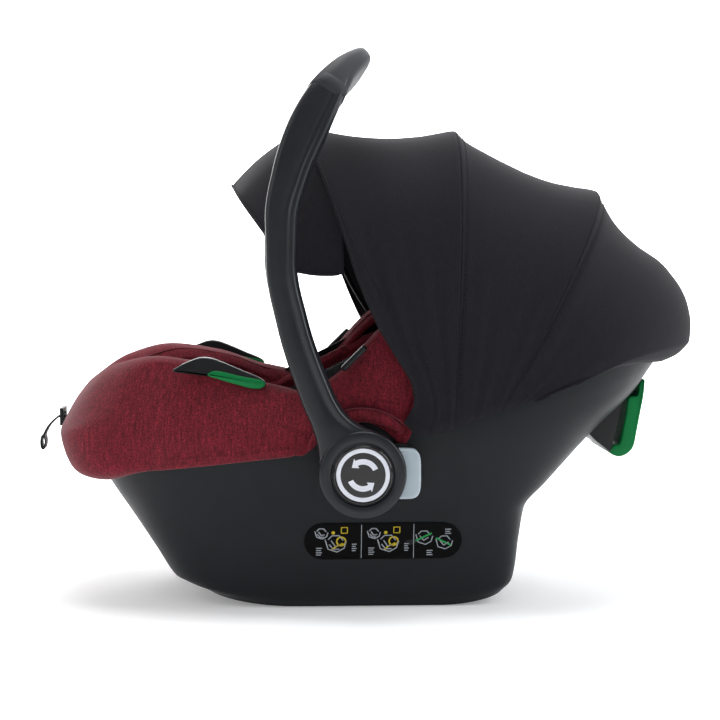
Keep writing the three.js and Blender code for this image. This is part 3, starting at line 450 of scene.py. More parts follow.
def make_materials():
    """All finishes, by name."""
    colours = bpy.context.scene.seat_colours
    red = colours_hex(colours.cloth)
    made = {
        # Polypropylene off a spark-eroded mould: satin, even, nearly black with a blue cast.
        "shell": moulded_plastic(
            "moulded_polypropylene_anthracite", colours_hex(colours.shell), "#14171b", 0.46, gloss=0.2
        ),
        # The same plastic off a finer mould: plain black, a little darker than the shell.
        "trim": moulded_plastic("moulded_polypropylene_black", "#0b0c0e", "#101113", 0.44),
        # Glass-filled polyamide: smoother and a little glossier than the shell.
        "handle": moulded_plastic(
            "moulded_polyamide_black", "#14161a", "#191b20", 0.3, bump_mm=0.01, gloss=0.36
        ),
        # Elastomer moulded over the handle: dull, dark grey, slightly dusty.
        "grip": moulded_plastic(
            "soft_touch_elastomer_black", "#232428", "#292b30", 0.6, bump_mm=0.03, gloss=0.4
        ),
        # Polished ABS: a hard clear gloss.
        "cap": moulded_plastic("polished_abs_black", "#100e11", "#131114", 0.1, bump_mm=0.001, gloss=0.5),
        # ABS off a polished mould: even, with a mild gloss.
        "white": moulded_plastic("moulded_abs_white", "#d6d9e2", "#e0e2ea", 0.3, bump_mm=0.004, gloss=0.5),
        "button": moulded_plastic("moulded_abs_blue_grey", "#a2afb7", "#aebac1", 0.4, gloss=0.5),
        # Dyed polyamide: a strong even green that shines softly on its edges.
        "green": moulded_plastic(
            "moulded_polyamide_green", colours_hex(colours.marker), "#00733a", 0.42, gloss=0.18
        ),
        # Dyed ABS: a bright red with a clear highlight.
        "red_button": moulded_plastic(
            "moulded_abs_red", "#b3201b", "#c42a22", 0.28, bump_mm=0.004, gloss=0.5
        ),
        # Matt-laminated film: nearly black, flatter than the shell under it.
        "label": moulded_plastic(
            "printed_polyester_film_black", "#030304", "#060607", 0.42, bump_mm=0.002, gloss=0.06
        ),
        # Screen-printed inks: thin, even and dull.
        "print_white": moulded_plastic("printing_ink_grey", "#8d9299", "#9aa0a6", 0.5, bump_mm=0.002),
        "print_yellow": moulded_plastic("printing_ink_yellow", "#b8a31c", "#c2ad26", 0.5, bump_mm=0.002),
        "print_green": moulded_plastic("printing_ink_green", "#178a42", "#1e934a", 0.5, bump_mm=0.002),
        # Knitted melange: red yarn with black fibres spun in, matt and slightly hairy.
        # Its flecks are drawn at 1.4 mm, somewhat over their real size, so that they show.
        "melange": cloth(
            "knitted_melange_red", [(0.32, "#330f15"), (0.47, red), (0.56, "#701e29"), (0.7, "#a62c3b")],
            1.4, 0.94, 0.12, 0.2, 0.3,
        ),
        # Binding tape of the same yarn, tighter and so darker.
        "melange_piping": cloth(
            "knitted_binding_dark_red", [(0.3, "#3a1219"), (0.7, "#6a222c")], 1.6, 0.92, 0.1
        ),
        # Spacer knit: open loops that show as a soft dark speckle.
        "mesh_black": cloth(
            "knitted_mesh_black", [(0.35, "#0c0c0d"), (0.65, "#242528")], 2.2, 0.92, 0.1, 0.4
        ),
        # Plain-woven polyester, tight and matt, with a faint grey bloom.
        "canopy": cloth(
            "plain_woven_polyester_black", [(0.3, "#18171b"), (0.7, "#201f24")], 1.2, 0.9, 0.05, 0.06,
            0.4, 0.05,
        ),
        # Narrow-woven polyester: fine ribs across, with a low silky shine.
        "webbing": strap_weave("woven_polyester_webbing_black", "#0c0d0e", "#242528", 1.4, 0.62),
        # Twisted thread: slightly lighter than the cloth it holds.
        "thread": cloth(
            "twisted_polyester_thread_black", [(0.3, "#1a1a1d"), (0.7, "#2c2c31")], 0.8, 0.8, 0.0
        ),
    }
    # Moulded bead foam: round beads pressed together, dull, with a darker line between them.
    foam, tree, shader = new_material(
        "moulded_bead_foam_grey", **{"IOR": 1.4, "Roughness": 0.85, "Specular IOR Level": 0.2}
    )
    source = (node(tree, "ShaderNodeTexCoord"), "Object")
    beads = node(tree, "ShaderNodeTexVoronoi", {"Vector": source, "Scale": 1 / (4 * MM)})
    greys = [(0.0, "#2a2a2c"), (0.7, "#19191b")]
    tint = node(tree, "ShaderNodeValToRGB", {"Fac": (beads, "Distance")}, greys)
    hollows = {"Height": (beads, "Distance"), "Strength": 0.6, "Distance": 0.5 * MM}
    relief = node(tree, "ShaderNodeBump", hollows, invert=True)
    tree.links.new(tint.outputs["Color"], shader.inputs["Base Color"])
    tree.links.new(relief.outputs["Normal"], shader.inputs["Normal"])
    made["foam"] = foam
    # Zinc-plated steel, drawn: fine lines along the bar that spread its highlight.
    steel, tree, shader = new_material("drawn_steel_zinc_plated", Metallic=1.0)
    source = (node(tree, "ShaderNodeTexCoord"), "Object")
    drawn = (node(tree, "ShaderNodeMapping", {"Vector": source, "Scale": (1.0, 0.04, 1.0)}), "Vector")
    lines = node(tree, "ShaderNodeTexNoise", {"Vector": drawn, "Scale": 1 / (0.8 * MM), "Detail": 3.0})
    tint = node(tree, "ShaderNodeValToRGB", {"Fac": (lines, "Fac")}, [(0.3, "#a9acb0"), (0.7, "#c3c6ca")])
    rough = node(tree, "ShaderNodeMapRange", {"Value": (lines, "Fac"), "To Min": 0.22, "To Max": 0.42})
    tree.links.new(tint.outputs["Color"], shader.inputs["Base Color"])
    tree.links.new(rough.outputs["Result"], shader.inputs["Roughness"])
    made["steel"] = steel
    return made


def colours_hex(colour):
    """The hex value of a colour property."""
    return "#" + "".join(f"{round(max(0, min(1, c)) * 255):02x}" for c in colour[:3])


MATERIALS = {}


def finish(name):
    """One of the finishes."""
    if not MATERIALS:
        MATERIALS.update(make_materials())
    return MATERIALS[name]


# ---- The shell's wall ----
PIVOT = (0, 143)
HUB_RADIUS = 42
HUB_FACE = 226
RECESS_DEPTH = 2.4
WIDEST_X = 10
FLAT = (-62, 82)
TOP, HEM_LEVEL = 10, 8
# Each level: front x and z, tail x and z, half width, height at the side, squareness in front and behind.
LEVELS = [
    (-156, 12, 150, 12, 132, 0, 5, 9),
    (-172, 14, 159, 20, 139, 8, 5, 9),
    (-187, 24, 163, 40, 144, 24, 4.6, 9),
    (-207, 53, 166, 70, 152, 50, 4.2, 9),
    (-230, 87, 172, 98, 161, 82, 3.8, 7),
    (-254, 121, 200, 124, 171, 110, 3.4, 4.6),
    (-271, 148, 250, 172, 180, 133, 3, 3.3),
    (-280, 170, 296, 213, 185, 153, 2.8, 2.8),
    (-283, 190, 316, 240, 186, 166, 2.7, 2.7),
    (-281, 205, 338, 268, 182, 190, 2.7, 2.7),
    (-275, 222, 322, 298, 174, 215, 2.7, 2.7),
]
FRONT_X, FRONT_Z, TAIL_X, TAIL_Z, HALF, SIDE, SQUARE, SQUARE_TAIL = (
    through([(i, level[k]) for i, level in enumerate(LEVELS)]) for k in range(8)
)
rim_height = through(
    [(-280, 214), (-250, 232), (-207, 241), (-150, 233), (-95, 216), (-55, 211), (-17, 232), (22, 273),
        (60, 294),
     (120, 304), (200, 306), (280, 304), (322, 298)]
)


def rocker(x):
    """Height of the rocker's underside: flat in the middle, a parabola at each end."""
    return 12.5 * (np.maximum(FLAT[0] - x, 0) / 95) ** 2 + 14 * (np.maximum(x - FLAT[1], 0) / 75) ** 2


def wall_height(level, x):
    """Height of a level at x: from its side height to its end height by a power of the share of the way."""
    at = np.minimum(level, HEM_LEVEL)
    front = x < WIDEST_X
    reach = np.where(front, WIDEST_X - FRONT_X(at), TAIL_X(at) - WIDEST_X)
    share = np.minimum(np.abs(x - WIDEST_X) / reach, 1)
    plain = mix(SIDE(at), np.where(front, FRONT_Z(at), TAIL_Z(at)), share ** np.where(front, 2, 1.1))
    low = np.where(at < 2, mix(rocker(x) + SIDE(at), plain, at / 2), plain)
    return mix(low, rim_height(x), np.clip((level - HEM_LEVEL) / (TOP - HEM_LEVEL), 0, 1))


def wall_point(angle, level, out=0.0, rise=0.0):
    """A superellipse round the seat at a level, moved out; angle 0 is at the head, half a turn the feet."""
    angle, level = np.broadcast_arrays(np.asarray(angle, float), np.asarray(level, float))
    c, s = np.cos(angle), np.sin(angle)
    power = 2 / np.where(c > 0, SQUARE_TAIL(level), SQUARE(level))
    reach = np.where(c > 0, TAIL_X(level) - WIDEST_X, WIDEST_X - FRONT_X(level))
    shape = signed_power(c, power)
    x = WIDEST_X + (reach + out) * shape
    y = (HALF(level) + out) * signed_power(s, power)
    return np.stack([x, y, wall_height(level, WIDEST_X + reach * shape) + rise], axis=-1)


def level_at(height_of, height, halvings):
    """The level at which the wall has a height, found by halving."""
    low, high = np.zeros(height.shape), np.full(height.shape, float(TOP))
    for _ in range(halvings):
        middle = (low + high) / 2
        under = height_of(middle) < height
        low, high = np.where(under, middle, low), np.where(under, high, middle)
    return low


def wall_at(angle, height, out=0.0):
    """The point of the wall at a height, moved out."""
    angle, height = np.broadcast_arrays(np.asarray(angle, float), np.asarray(height, float))
    points = wall_point(angle, level_at(lambda level: wall_point(angle, level)[..., 2], height, 26), out)
    points[..., 2] = height
    return points


def wall_side(x, z, out=0.0):
    """The left wall at a place in the side view: its level by halving, and y by the superellipse."""
    x, z = np.broadcast_arrays(np.asarray(x, float), np.asarray(z, float))
    level = level_at(lambda level: wall_height(level, x), z, 24)
    behind = x > WIDEST_X
    reach = np.where(behind, TAIL_X(level) - WIDEST_X, WIDEST_X - FRONT_X(level))
    square = np.where(behind, SQUARE_TAIL(level), SQUARE(level))
    share = np.clip(np.abs(x - WIDEST_X) / reach, 0, 1)
    y = -(HALF(level) + out) * (1 - share**square) ** (1 / square)
    return np.stack([x, y, z], axis=-1)


def hub_recess(points):
    """The wall pressed in round the hub: full depth inside an oval round the pivot, fading at its rim."""
    away = np.hypot((points[..., 0] - 2) / 98, (points[..., 2] - 128) / 78)
    press = RECESS_DEPTH * (1 - smoothstep(0.93, 1.04, away))
    pressed = points.copy()
    pressed[..., 1] -= np.sign(points[..., 1]) * press * (np.abs(points[..., 1]) > 60)
    return pressed


def seat_angles(count):
    """Angles round the seat, closed."""
    return np.arange(count) / count * TURN


def build_shell():
    """Shell: the wall's levels from the middle of the floor up to the rim and down inside, as one skin."""
    angles = seat_angles(288)[None]
    spread = np.linspace(0.02, 0.97, 14)[:, None]
    foot = wall_point(angles, np.zeros((1, 1)))

    def floor(edge, rise, shares):
        """Rows from the floor's middle out to an edge, at a rise over the rocker's underside."""
        centre = np.array([WIDEST_X, 0, 0])
        flat = centre + (edge - centre) * shares[..., None]
        flat[..., 2] = rocker(flat[..., 0]) + rise
        return flat

    levels = np.concatenate([np.linspace(0, 1, 8), np.linspace(1, TOP, 70)[1:]])[:, None]
    outside = hub_recess(wall_point(angles, levels))
    lip = [wall_point(angles, TOP, out, rise) for out, rise in ((-0.6, 0.9), (-2.2, 1.5), (-3.9, 0.9))]
    inner_levels = np.linspace(TOP, 1, 50)[:, None]
    wall = size("shell_wall")
    inside = hub_recess(wall_point(angles, inner_levels, -wall))
    base = wall_point(angles, np.zeros((1, 1)), -wall, wall)
    rows = [floor(foot, 0, spread), outside, *lip, inside, base, floor(base, wall, spread[::-1])]
    points = np.concatenate([np.broadcast_to(row, (row.shape[0], angles.size, 3)) for row in rows])
    shell = surface("shell", points, close_columns=True, caps=True)
    for x0, x1 in ((-84, -24), (28, 84)):
        cut_by(shell, rounded_box("pocket", ((x0 + x1) / 2, 0, 5), ((x1 - x0) / 2, 74, 12), 30))
    shell.data.set_sharp_from_angle(angle=math.radians(35))
    return place(shell, "seat_shell", "shell_plastic", finish("shell"), "outer_shell")


def rounded_box(name, centre, half, squareness=7.0, turn=None, rows=20, columns=40):
    """A box with soft edges: each coordinate is a power of the sphere's own, as in a superellipsoid."""
    v = np.linspace(-math.pi / 2, math.pi / 2, rows)[1:-1, None]
    u = (np.arange(columns) + 0.5)[None] / columns * TURN
    power = 2 / squareness
    ring = np.cos(v) ** power
    points = np.stack(
        [
            half[0] * ring * signed_power(np.cos(u), power),
            half[1] * ring * signed_power(np.sin(u), power),
            half[2] * signed_power(np.sin(v), power) * np.ones_like(u),
        ],
        axis=-1,
    )
    if turn is not None:
        points = points @ np.asarray(turn, float).T
    return surface(name, points + np.asarray(centre, float), close_columns=True, caps=True)


# ---- Plates and turned pieces ----
def closed_curve(outline, count):
    """A closed smooth outline through a few points: a centripetal spline, sampled at equal shares."""
    p1 = np.asarray(outline, float)
    p0, p2, p3 = np.roll(p1, 1, 0), np.roll(p1, -1, 0), np.roll(p1, -2, 0)
    k1, k2, k3 = (np.linalg.norm(b - a, axis=1) ** 0.5 for a, b in ((p0, p1), (p1, p2), (p2, p3)))
    m1 = k2[:, None] * ((p1 - p0) / k1[:, None] - (p2 - p0) / (k1 + k2)[:, None] + (p2 - p1) / k2[:, None])
    m2 = k2[:, None] * ((p2 - p1) / k2[:, None] - (p3 - p1) / (k2 + k3)[:, None] + (p3 - p2) / k3[:, None])
    t = np.linspace(0, 1, 16, endpoint=False)[None, :, None]
    h = [2 * t**3 - 3 * t**2 + 1, t**3 - 2 * t**2 + t, -2 * t**3 + 3 * t**2, t**3 - t**2]
    fine = h[0] * p1[:, None] + h[1] * m1[:, None] + h[2] * p2[:, None] + h[3] * m2[:, None]
    fine = fine.reshape(-1, 2)
    ring = np.vstack([fine, fine[:1]])
    lengths = travelled(ring)
    return at_places(np.linspace(0, lengths[-1], count, endpoint=False), lengths, ring)


def inset(outline, amount):
    """A closed outline moved inwards along its own normals."""
    tangent = unit(np.roll(outline, -1, 0) - np.roll(outline, 1, 0))
    normal = np.stack([tangent[:, 1], -tangent[:, 0]], axis=-1)
    area = np.sum(outline[:, 0] * np.roll(outline[:, 1], -1) - np.roll(outline[:, 0], -1) * outline[:, 1])
    return outline - normal * amount * math.copysign(1, area)


def plate(name, outline, y0, y1, edge=2.0, count=96, smooth=True):
    """A plate between two values of y, its outline in the side view, with quarter-round edges."""
    ring = closed_curve(outline, count) if smooth else np.asarray(outline, float)
    quarter = np.linspace(0, math.pi / 2, 5)
    steps = [(edge * (1 - math.sin(a)), y0 + edge * (1 - math.cos(a))) for a in quarter]
    steps += [(edge * (1 - math.sin(a)), y1 - edge * (1 - math.cos(a))) for a in quarter[::-1]]
    rows = []
    for amount, y in steps:
        flat = inset(ring, amount)
        rows.append(np.stack([flat[:, 0], np.full(len(flat), y), flat[:, 1]], axis=-1))
    made = surface(name, np.array(rows), close_columns=True, caps=True)
    work = bmesh.new()
    work.from_mesh(made.data)
    ends = [face for face in work.faces if len(face.verts) > 4]
    bmesh.ops.triangulate(work, faces=ends, ngon_method="EAR_CLIP")
    work.to_mesh(made.data)
    work.free()
    made.data.set_sharp_from_angle(angle=math.radians(40))
    return made


def cut_by(obj, cutter):
    """Takes one closed form away from another."""
    modifier(obj, "BOOLEAN", object=cutter, operation="DIFFERENCE", solver="EXACT")
    apply_modifiers(obj)
    bpy.data.objects.remove(cutter)
    return obj


def turned(name, profile, centre=PIVOT, side=-1, count=96):
    """A profile of (radius, y) turned round an axis along y, and closed from its last point to its first."""
    profile = np.asarray(profile, float)
    angle = seat_angles(count)[None]
    radius, y = profile[:, :1], profile[:, 1:]
    x, z = centre[0] + radius * np.cos(angle), centre[1] + radius * np.sin(angle)
    points = np.stack([x, side * y * np.ones_like(angle), z], axis=-1)
    made = surface(name, points, close_rows=True, close_columns=True)
    made.data.set_sharp_from_angle(angle=math.radians(40))
    return made


def stitches(name, path, dash=3.0, gap=1.8, radius=0.45):
    """A row of stitches: short round-ended dashes at equal steps along a path."""
    lengths = travelled(path)
    centres = np.arange(gap, lengths[-1] - dash, dash + gap) + dash / 2
    at = at_places(centres, lengths, path)
    tangent = unit(at_places(centres, lengths, along(path)))
    side = unit(np.cross(tangent, [0.13, 0.9, 0.41]))
    up = np.cross(tangent, side)
    turn = seat_angles(6)
    reach = np.array([-0.5, -0.36, 0.36, 0.5]) * dash
    size = np.array([0.35, 1, 1, 0.35]) * radius
    ring = side[:, None, None] * np.cos(turn)[None, None, :, None] + up[:, None, None] * np.sin(turn)[
        None, None, :, None
    ]
    points = at[:, None, None] + tangent[:, None, None] * reach[None, :, None, None] + ring * size[
        None, :, None, None
    ]
    one = grid_faces(4, 6, close_columns=True) + [list(range(6))[::-1], list(range(18, 24))]
    faces = [[i + 24 * k for i in face] for k in range(len(at)) for face in one]
    made = new_object(name, points, faces)
    face_out(made)
    return made


def tube(name, path, radius, count=10, closed=False):
    """A round cord of cloth along a path."""
    outline = rounded(radius, radius, 2, count)
    across = np.array([0.05, 1.0, 0.08])
    if not closed:
        return bar(
            name, path, across, tapered(outline, len(path), 2.5 * radius / np.ptp(path, axis=0).max())
        )
    tangent = unit(np.roll(path, -1, 0) - np.roll(path, 1, 0))
    side = unit(np.cross(tangent, [0, 0, 1.0]))
    up = np.cross(side, tangent)
    points = path[:, None] + side[:, None] * outline[:, :1] + up[:, None] * outline[:, 1:]
    return surface(name, points, close_rows=True, close_columns=True)


# ---- Padded pieces ----
PRESSURE = 4.0
CLOTH_STEPS = 20


def swell(obj, cap, voxel=None):
    """Padding: a form, remeshed where it has a voxel size, is blown up as cloth by no more than the cap."""
    if voxel:
        modifier(obj, "REMESH", mode="VOXEL", voxel_size=voxel * MM, use_smooth_shade=True)
        modifier(obj, "SMOOTH", factor=0.5, iterations=3)
        apply_modifiers(obj)
    start = coordinates(obj)
    cloth = obj.modifiers.new("Cloth", "CLOTH")
    cloth.settings.use_pressure = True
    cloth.settings.uniform_pressure_force = PRESSURE
    cloth.settings.effector_weights.gravity = 0
    cloth.settings.quality = 4
    for step in range(1, CLOTH_STEPS + 1):
        bpy.context.scene.frame_set(step)
    apply_modifiers(obj)
    bpy.context.scene.frame_set(1)
    move = coordinates(obj) - start
    far = np.linalg.norm(move, axis=1, keepdims=True)
    set_coordinates(obj, start + move * np.minimum(1, cap / np.maximum(far, 1e-6)))
    modifier(obj, "SUBSURF", levels=1, render_levels=1)
    apply_modifiers(obj)
    obj.data.shade_smooth()
    return obj


def copy_of(node, name):
    """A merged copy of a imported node's form, as the start of a padded piece."""
    source = next(o for o in bpy.data.objects if o.name == node or o.name.split(".")[0] == node)
    mesh = source.data.copy()
    mesh.transform(source.matrix_world)
    made = link(name, mesh)
    made.data.materials.clear()
    face_out(made, 1e-5)
    return made


def channel(obj, distance, depth, width):
    """A sewn channel: points go in along their normals by a bell of their distance from the seam."""
    points = coordinates(obj)
    press = depth * bump(distance(points), 0, width)
    set_coordinates(obj, points - normals_of(obj) * press[:, None])
    return obj


# Thickness of the padding, where the skirt ends behind, and the radius left free round the hub.
COVER_THICK = 8
SKIRT_END = 46
ARCH_CUT = 49


def skirt_low(x):
    """Height of the skirt's lower edge at x."""
    return np.maximum(138, 137 + 0.108 * (x + 244))


def cover_section(angle):
    """Ten places round the cover's section at each angle: up the outside, over the rim, and back."""
    rim = wall_point(angle, TOP)
    end = smoothstep(SKIRT_END, SKIRT_END + 30, rim[:, 0])
    roll = 1 - smoothstep(-268, -190, rim[:, 0])
    arch = PIVOT[1] + np.sqrt(np.maximum(ARCH_CUT**2 - rim[:, 0] ** 2, 0))
    low = mix(np.maximum(skirt_low(rim[:, 0]), arch), rim[:, 2] - 14, end) - 14 * roll
    thick = mix(COVER_THICK, 4, smoothstep(-60, 40, rim[:, 0]))
    inner = mix(30, 37, 1 - end)

    def on_wall(out, height):
        """The wall at a height, moved along its own outward step."""
        points = wall_at(angle, height)
        outward = wall_at(angle, height, 1.0) - points
        return points + outward * np.broadcast_to(out, angle.shape)[:, None]

    def over(out, rise):
        """The rim, moved out and up."""
        return wall_point(angle, TOP, out, rise)

    return np.stack(
        [
            on_wall(1.2, low),
            on_wall(mix(thick - 1, 31, roll), low + 2),
            on_wall(mix(thick + 1, 28.5, roll), mix(low, rim[:, 2], 0.4)),
            on_wall(mix(thick, 18, roll), mix(rim[:, 2] - 3, 183, roll)),
            over(mix(thick - 4, 9, roll), mix(7, -9, roll)),
            over(-12, mix(9, 10, roll)),
            over(-inner, mix(3, 0, 1 - end)),
            over(-inner + 3, mix(-2, -8, 1 - end)),
            over(0.9, 1.0),
            on_wall(1.2, mix(low, rim[:, 2], 0.5)),
        ],
        axis=1,
    )


def build_cover():
    """Cover: its section carried round the rim through a closed spline, padded, then creased by seams."""
    angle = seat_angles(360)
    p1 = cover_section(angle)
    p0, p2, p3 = np.roll(p1, 1, 1), np.roll(p1, -1, 1), np.roll(p1, -2, 1)
    t = np.linspace(0, 1, 5, endpoint=False)[None, None, :, None]
    p0, p1, p2, p3 = (p[:, :, None] for p in (p0, p1, p2, p3))
    points = spline(p0, p1, p2, p3, t)
    cover = surface("cover", points.reshape(len(angle), -1, 3), close_rows=True, close_columns=True)
    seam_line = points[:, 5, 3] + [0, 0, 0.9]
    swell(cover, 2.0)

    def near(path, reach=60):
        """A function for the distance to a path in the side view, on both sides of the seat."""
        path = np.asarray(path, float)
        fine = resample(path, 80)

        def distance(points):
            side = np.abs(points[:, 1]) > 130
            gap = np.min(np.linalg.norm(points[:, None, [0, 2]] - fine[None], axis=2), axis=1)
            return np.where(side, gap, reach)

        return distance

    for seam, depth, width in (
        ([(26, 266), (36, 249), (45, 227), (49, 210), (45, 198)], 2.2, 2.6),
        ([(-57, 162), (-50, 172), (-42, 181)], 2.2, 2.0),
        ([(-64, 158), (-63, 172)], 1.6, 2.4),
    ):
        channel(cover, near(seam), depth, width)
    place(cover, "seat_shell", "red_cloth", finish("melange"), "seat_cover")

    place(
        tube("rim_piping", seam_line, size("piping"), 8, closed=True), "seat_shell", "red_cloth",
        finish("melange_piping"),
    )
    x = np.linspace(-190, -58, 90)
    welt = wall_side(x, skirt_low(x) + 9, 9.6)
    row = stitches("skirt_stitches_left", welt, size("stitch"), 2.0, 0.35)
    place_pair(row, "seat_shell", "red_cloth", finish("melange_piping"))


def arch_path(radius, start, stop, y, count=64):
    """An arc round the pivot, in degrees from straight up towards the head."""
    angle = np.radians(np.linspace(start, stop, count))
    return np.stack(
        [PIVOT[0] + radius * np.sin(angle), np.full(count, y), PIVOT[1] + radius * np.cos(angle)], axis=-1
    )


def build_arches():
    """Arches of padded cloth over the hubs: a crescent section along an arc, with a piped outer edge."""
    count = 72
    path = arch_path(55, -68, 47, -196.5, count)
    share = np.linspace(0, 1, count)
    swell_out = np.clip(np.sin(math.pi * share), 0, 1) ** 0.42
    outline = rounded(3.4, 7.2, 2.3, 20)[None] * np.maximum(swell_out, 0.05)[:, None, None]
    band = bar("arch_left", path, np.array([0, 1.0, 0]), outline)
    edge = arch_path(61.6, -52, 43, -199.0, 60)
    piping = tube("arch_piping_left", edge, 0.9, 8)
    for band in place_pair(band, "seat_shell", "red_cloth", finish("melange"), "cover_arch"):
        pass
    place_pair(piping, "seat_shell", "red_cloth", finish("melange_piping"))


def build_insert():
    """Seat pad, headrest and shoulder pads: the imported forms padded, then sewn into panels."""
    pad = swell(copy_of("seat_pad", "insert"), size("puff"), voxel=6)
    for seam in ((-196, 172), (-120, 126), (-30, 88), (60, 103), (122, 148), (176, 194)):
        channel(pad, lambda p, s=seam: np.hypot(p[:, 0] - s[0], (p[:, 2] - s[1] - 8) * 0.35), 2.6, 3.6)
    channel(pad, lambda p: np.abs(np.abs(p[:, 1]) - 78), 2.2, 3.2)
    place(pad, "seat_shell", "red_cloth", finish("melange"), "seat_pad")
    head = swell(copy_of("headrest", "head_cushion"), 4, voxel=4)
    channel(head, lambda p: np.abs(np.abs(p[:, 1]) - 62), 1.8, 2.6)
    place(head, "head_rest", "red_cloth", finish("melange"), "headrest")
    for side in ("left", "right"):
        strap = swell(copy_of(f"shoulder_pad_{side}", f"shoulder_cushion_{side}"), 1.6, voxel=2.5)
        place(strap, "seat_shell", "dark_cloth", finish("mesh_black"), f"shoulder_pad_{side}")


# ---- Seat line, harness and buckle ----
# The seat's surface in the side view, from the feet end to the top of the back: x, z.
SEAT_LINE = [
    (-258, 252), (-250, 214), (-215, 184), (-150, 144), (-80, 106), (-25, 88), (35, 90), (85, 118),
    (150, 172), (225, 236), (272, 278), (288, 330),
]


def catmull(points, count):
    """A uniform spline through points, sampled at equal distances."""
    p = np.asarray(points, float)
    ends = np.vstack([2 * p[0] - p[1], p, 2 * p[-1] - p[-2]])
    p0, p1, p2, p3 = (ends[k : len(p) - 1 + k, None] for k in range(4))
    t = np.linspace(0, 1, 40, endpoint=False)[None, :, None]
    fine = np.vstack([spline(p0, p1, p2, p3, t).reshape(-1, p.shape[1]), p[-1:]])
    lengths = travelled(fine)
    return at_places(np.linspace(0, lengths[-1], count), lengths, fine)


SEAT_STEPS = 800
SEAT_CURVE = catmull(SEAT_LINE, SEAT_STEPS + 1)
SEAT_ALONG = along(SEAT_CURVE)


def on_seat(share, y, lift):
    """A point over the seat's line, at a lift square to it."""
    i = int(round(share * SEAT_STEPS))
    point, ahead = SEAT_CURVE[i], SEAT_ALONG[i]
    return np.array([point[0] - ahead[1] * lift, y, point[1] + ahead[0] * lift])


BUCKLE_AT = on_seat(0.405, 0, 31)
BUCKLE_AHEAD = SEAT_ALONG[int(0.43 * SEAT_STEPS)]
BUCKLE_TURN = np.array(
    [[BUCKLE_AHEAD[0], 0, -BUCKLE_AHEAD[1]], [0, 1, 0], [BUCKLE_AHEAD[1], 0, BUCKLE_AHEAD[0]]]
)


def from_buckle(ahead, y, lift):
    """A point in the buckle's own frame."""
    return BUCKLE_AT + BUCKLE_TURN @ np.array([ahead, y, lift], float)


def webbing(name, points, steps=90):
    """A flat strap along a path, its edges rounded and its two selvedges a little thicker."""
    half, thick = size("strap_width") / 2, size("strap_thickness") / 2
    path = catmull(points, steps)
    outline = rounded(half, thick, 8, 28)
    outline[:, 1] *= 1 + 0.35 * smoothstep(half - 2.4, half - 1.2, np.abs(outline[:, 0]))
    return bar(name, path, np.array([0, 1.0, 0]), outline)


def build_harness():
    """Harness: shoulder and crotch straps as webbing, tongues, and a buckle with a red button."""
    line = [
        on_seat(share, y, lift)
        for share, y, lift in (
            (0.705, -32, 37.8), (0.68, -31.8, 35), (0.65, -31, 26.5), (0.62, -29.6, 21.5), (0.56, -27, 19.6),
            (0.5, -22, 21),
        )
    ]
    line += [from_buckle(54, -16, -1), from_buckle(39, -15, 0)]
    shoulder = webbing("shoulder_strap_left", line)
    place_pair(shoulder, "seat_shell", "webbing", finish("webbing"), "harness_strap")
    low = [
        on_seat(0.3, 0, 19), on_seat(0.325, 0, 19.6), on_seat(0.345, 0, 25), from_buckle(-29, 0, 0),
        from_buckle(-18, 0, 0),
    ]
    place(webbing("between_legs_strap", low), "seat_shell", "webbing", finish("webbing"), "crotch_strap")
    shares = np.linspace(-1, 1, 25)
    path = np.array([from_buckle(24 * s, 0, 0) for s in shares])
    taper = 0.97 - 0.25 * np.abs(shares) ** 7 + 0.03 * shares
    outline = rounded(26, 9.5, 3.4, 40)[None] * taper[:, None, None]
    body = bar("buckle_body", path, np.array([0, 1.0, 0]), outline)
    cut_by(body, rounded_box("well", from_buckle(-2, 0, 8), (9.7, 14.7, 12.5), 12, BUCKLE_TURN))
    body.data.set_sharp_from_angle(angle=math.radians(40))
    place(body, "seat_shell", "shell_plastic", finish("trim"), "buckle_housing")
    button = rounded_box("buckle_press", from_buckle(-2, 0, 6.4), (9, 14, 4.9), 7, BUCKLE_TURN)
    place(button, "buckle_push", "button_red", finish("red_button"), "buckle_button")


ADJUSTER = (-209.7, 205.8)
ADJUSTER_TILT = math.radians(38)


def build_adjuster():
    """Adjuster: a frame and its press plate on the seat pad's front, and the pull strap with its loop."""
    c, s = math.cos(ADJUSTER_TILT), math.sin(ADJUSTER_TILT)
    turn = np.array([[c, 0, s], [0, 1, 0], [-s, 0, c]])
    centre = np.array([ADJUSTER[0], 0, ADJUSTER[1]])
    a = seat_angles(72)
    ring = np.stack(
        [15.4 * signed_power(np.cos(a), 0.3), 18.9 * signed_power(np.sin(a), 0.3), np.zeros(72)], axis=-1
    )
    outward = unit(ring * [1, 0.8, 0])
    section = rounded(1.9, 2.5, 3, 12)
    points = ring[:, None] + outward[:, None] * section[:, :1] + np.array([0, 0, 1.0]) * section[:, 1:]
    bezel = surface("adjuster_frame", points @ turn.T + centre, close_rows=True, close_columns=True)
    place(bezel, "seat_shell", "shell_plastic", finish("trim"), "adjuster_bezel")
    press = rounded_box("adjuster_press", centre + turn @ [0, 0, 2.3], (12, 15, 1.6), 8, turn)
    for x in (-6, -2, 2, 6):
        channel(press, lambda p, x=x: ((p - centre) @ turn)[:, 0] - x, 0.5, 0.7)
    place(press, "adjuster_push", "shell_plastic", finish("trim"), "adjuster_button")
    route = [(-303, 182.8), (-310.4, 181.2), (-319.6, 172.6), (-324.6, 164), (-326, 160)]
    strap = webbing("pull_webbing", [(x, 0, z) for x, z in route], 60)
    a = np.linspace(0, 1, 48)
    loop = np.stack(
        [-326.3 - 2.3 * np.sin(TURN * a), np.zeros(48), 154.6 + 7.2 * np.cos(TURN * a)], axis=-1
    )
    end = bar("pull_loop", loop, np.array([0, 1.0, 0]), rounded(12.5, 0.8, 8, 24))
    whole = surface_join("pull_strap_webbing", strap, end)
    place(whole, "seat_shell", "webbing", finish("webbing"), "pull_strap")


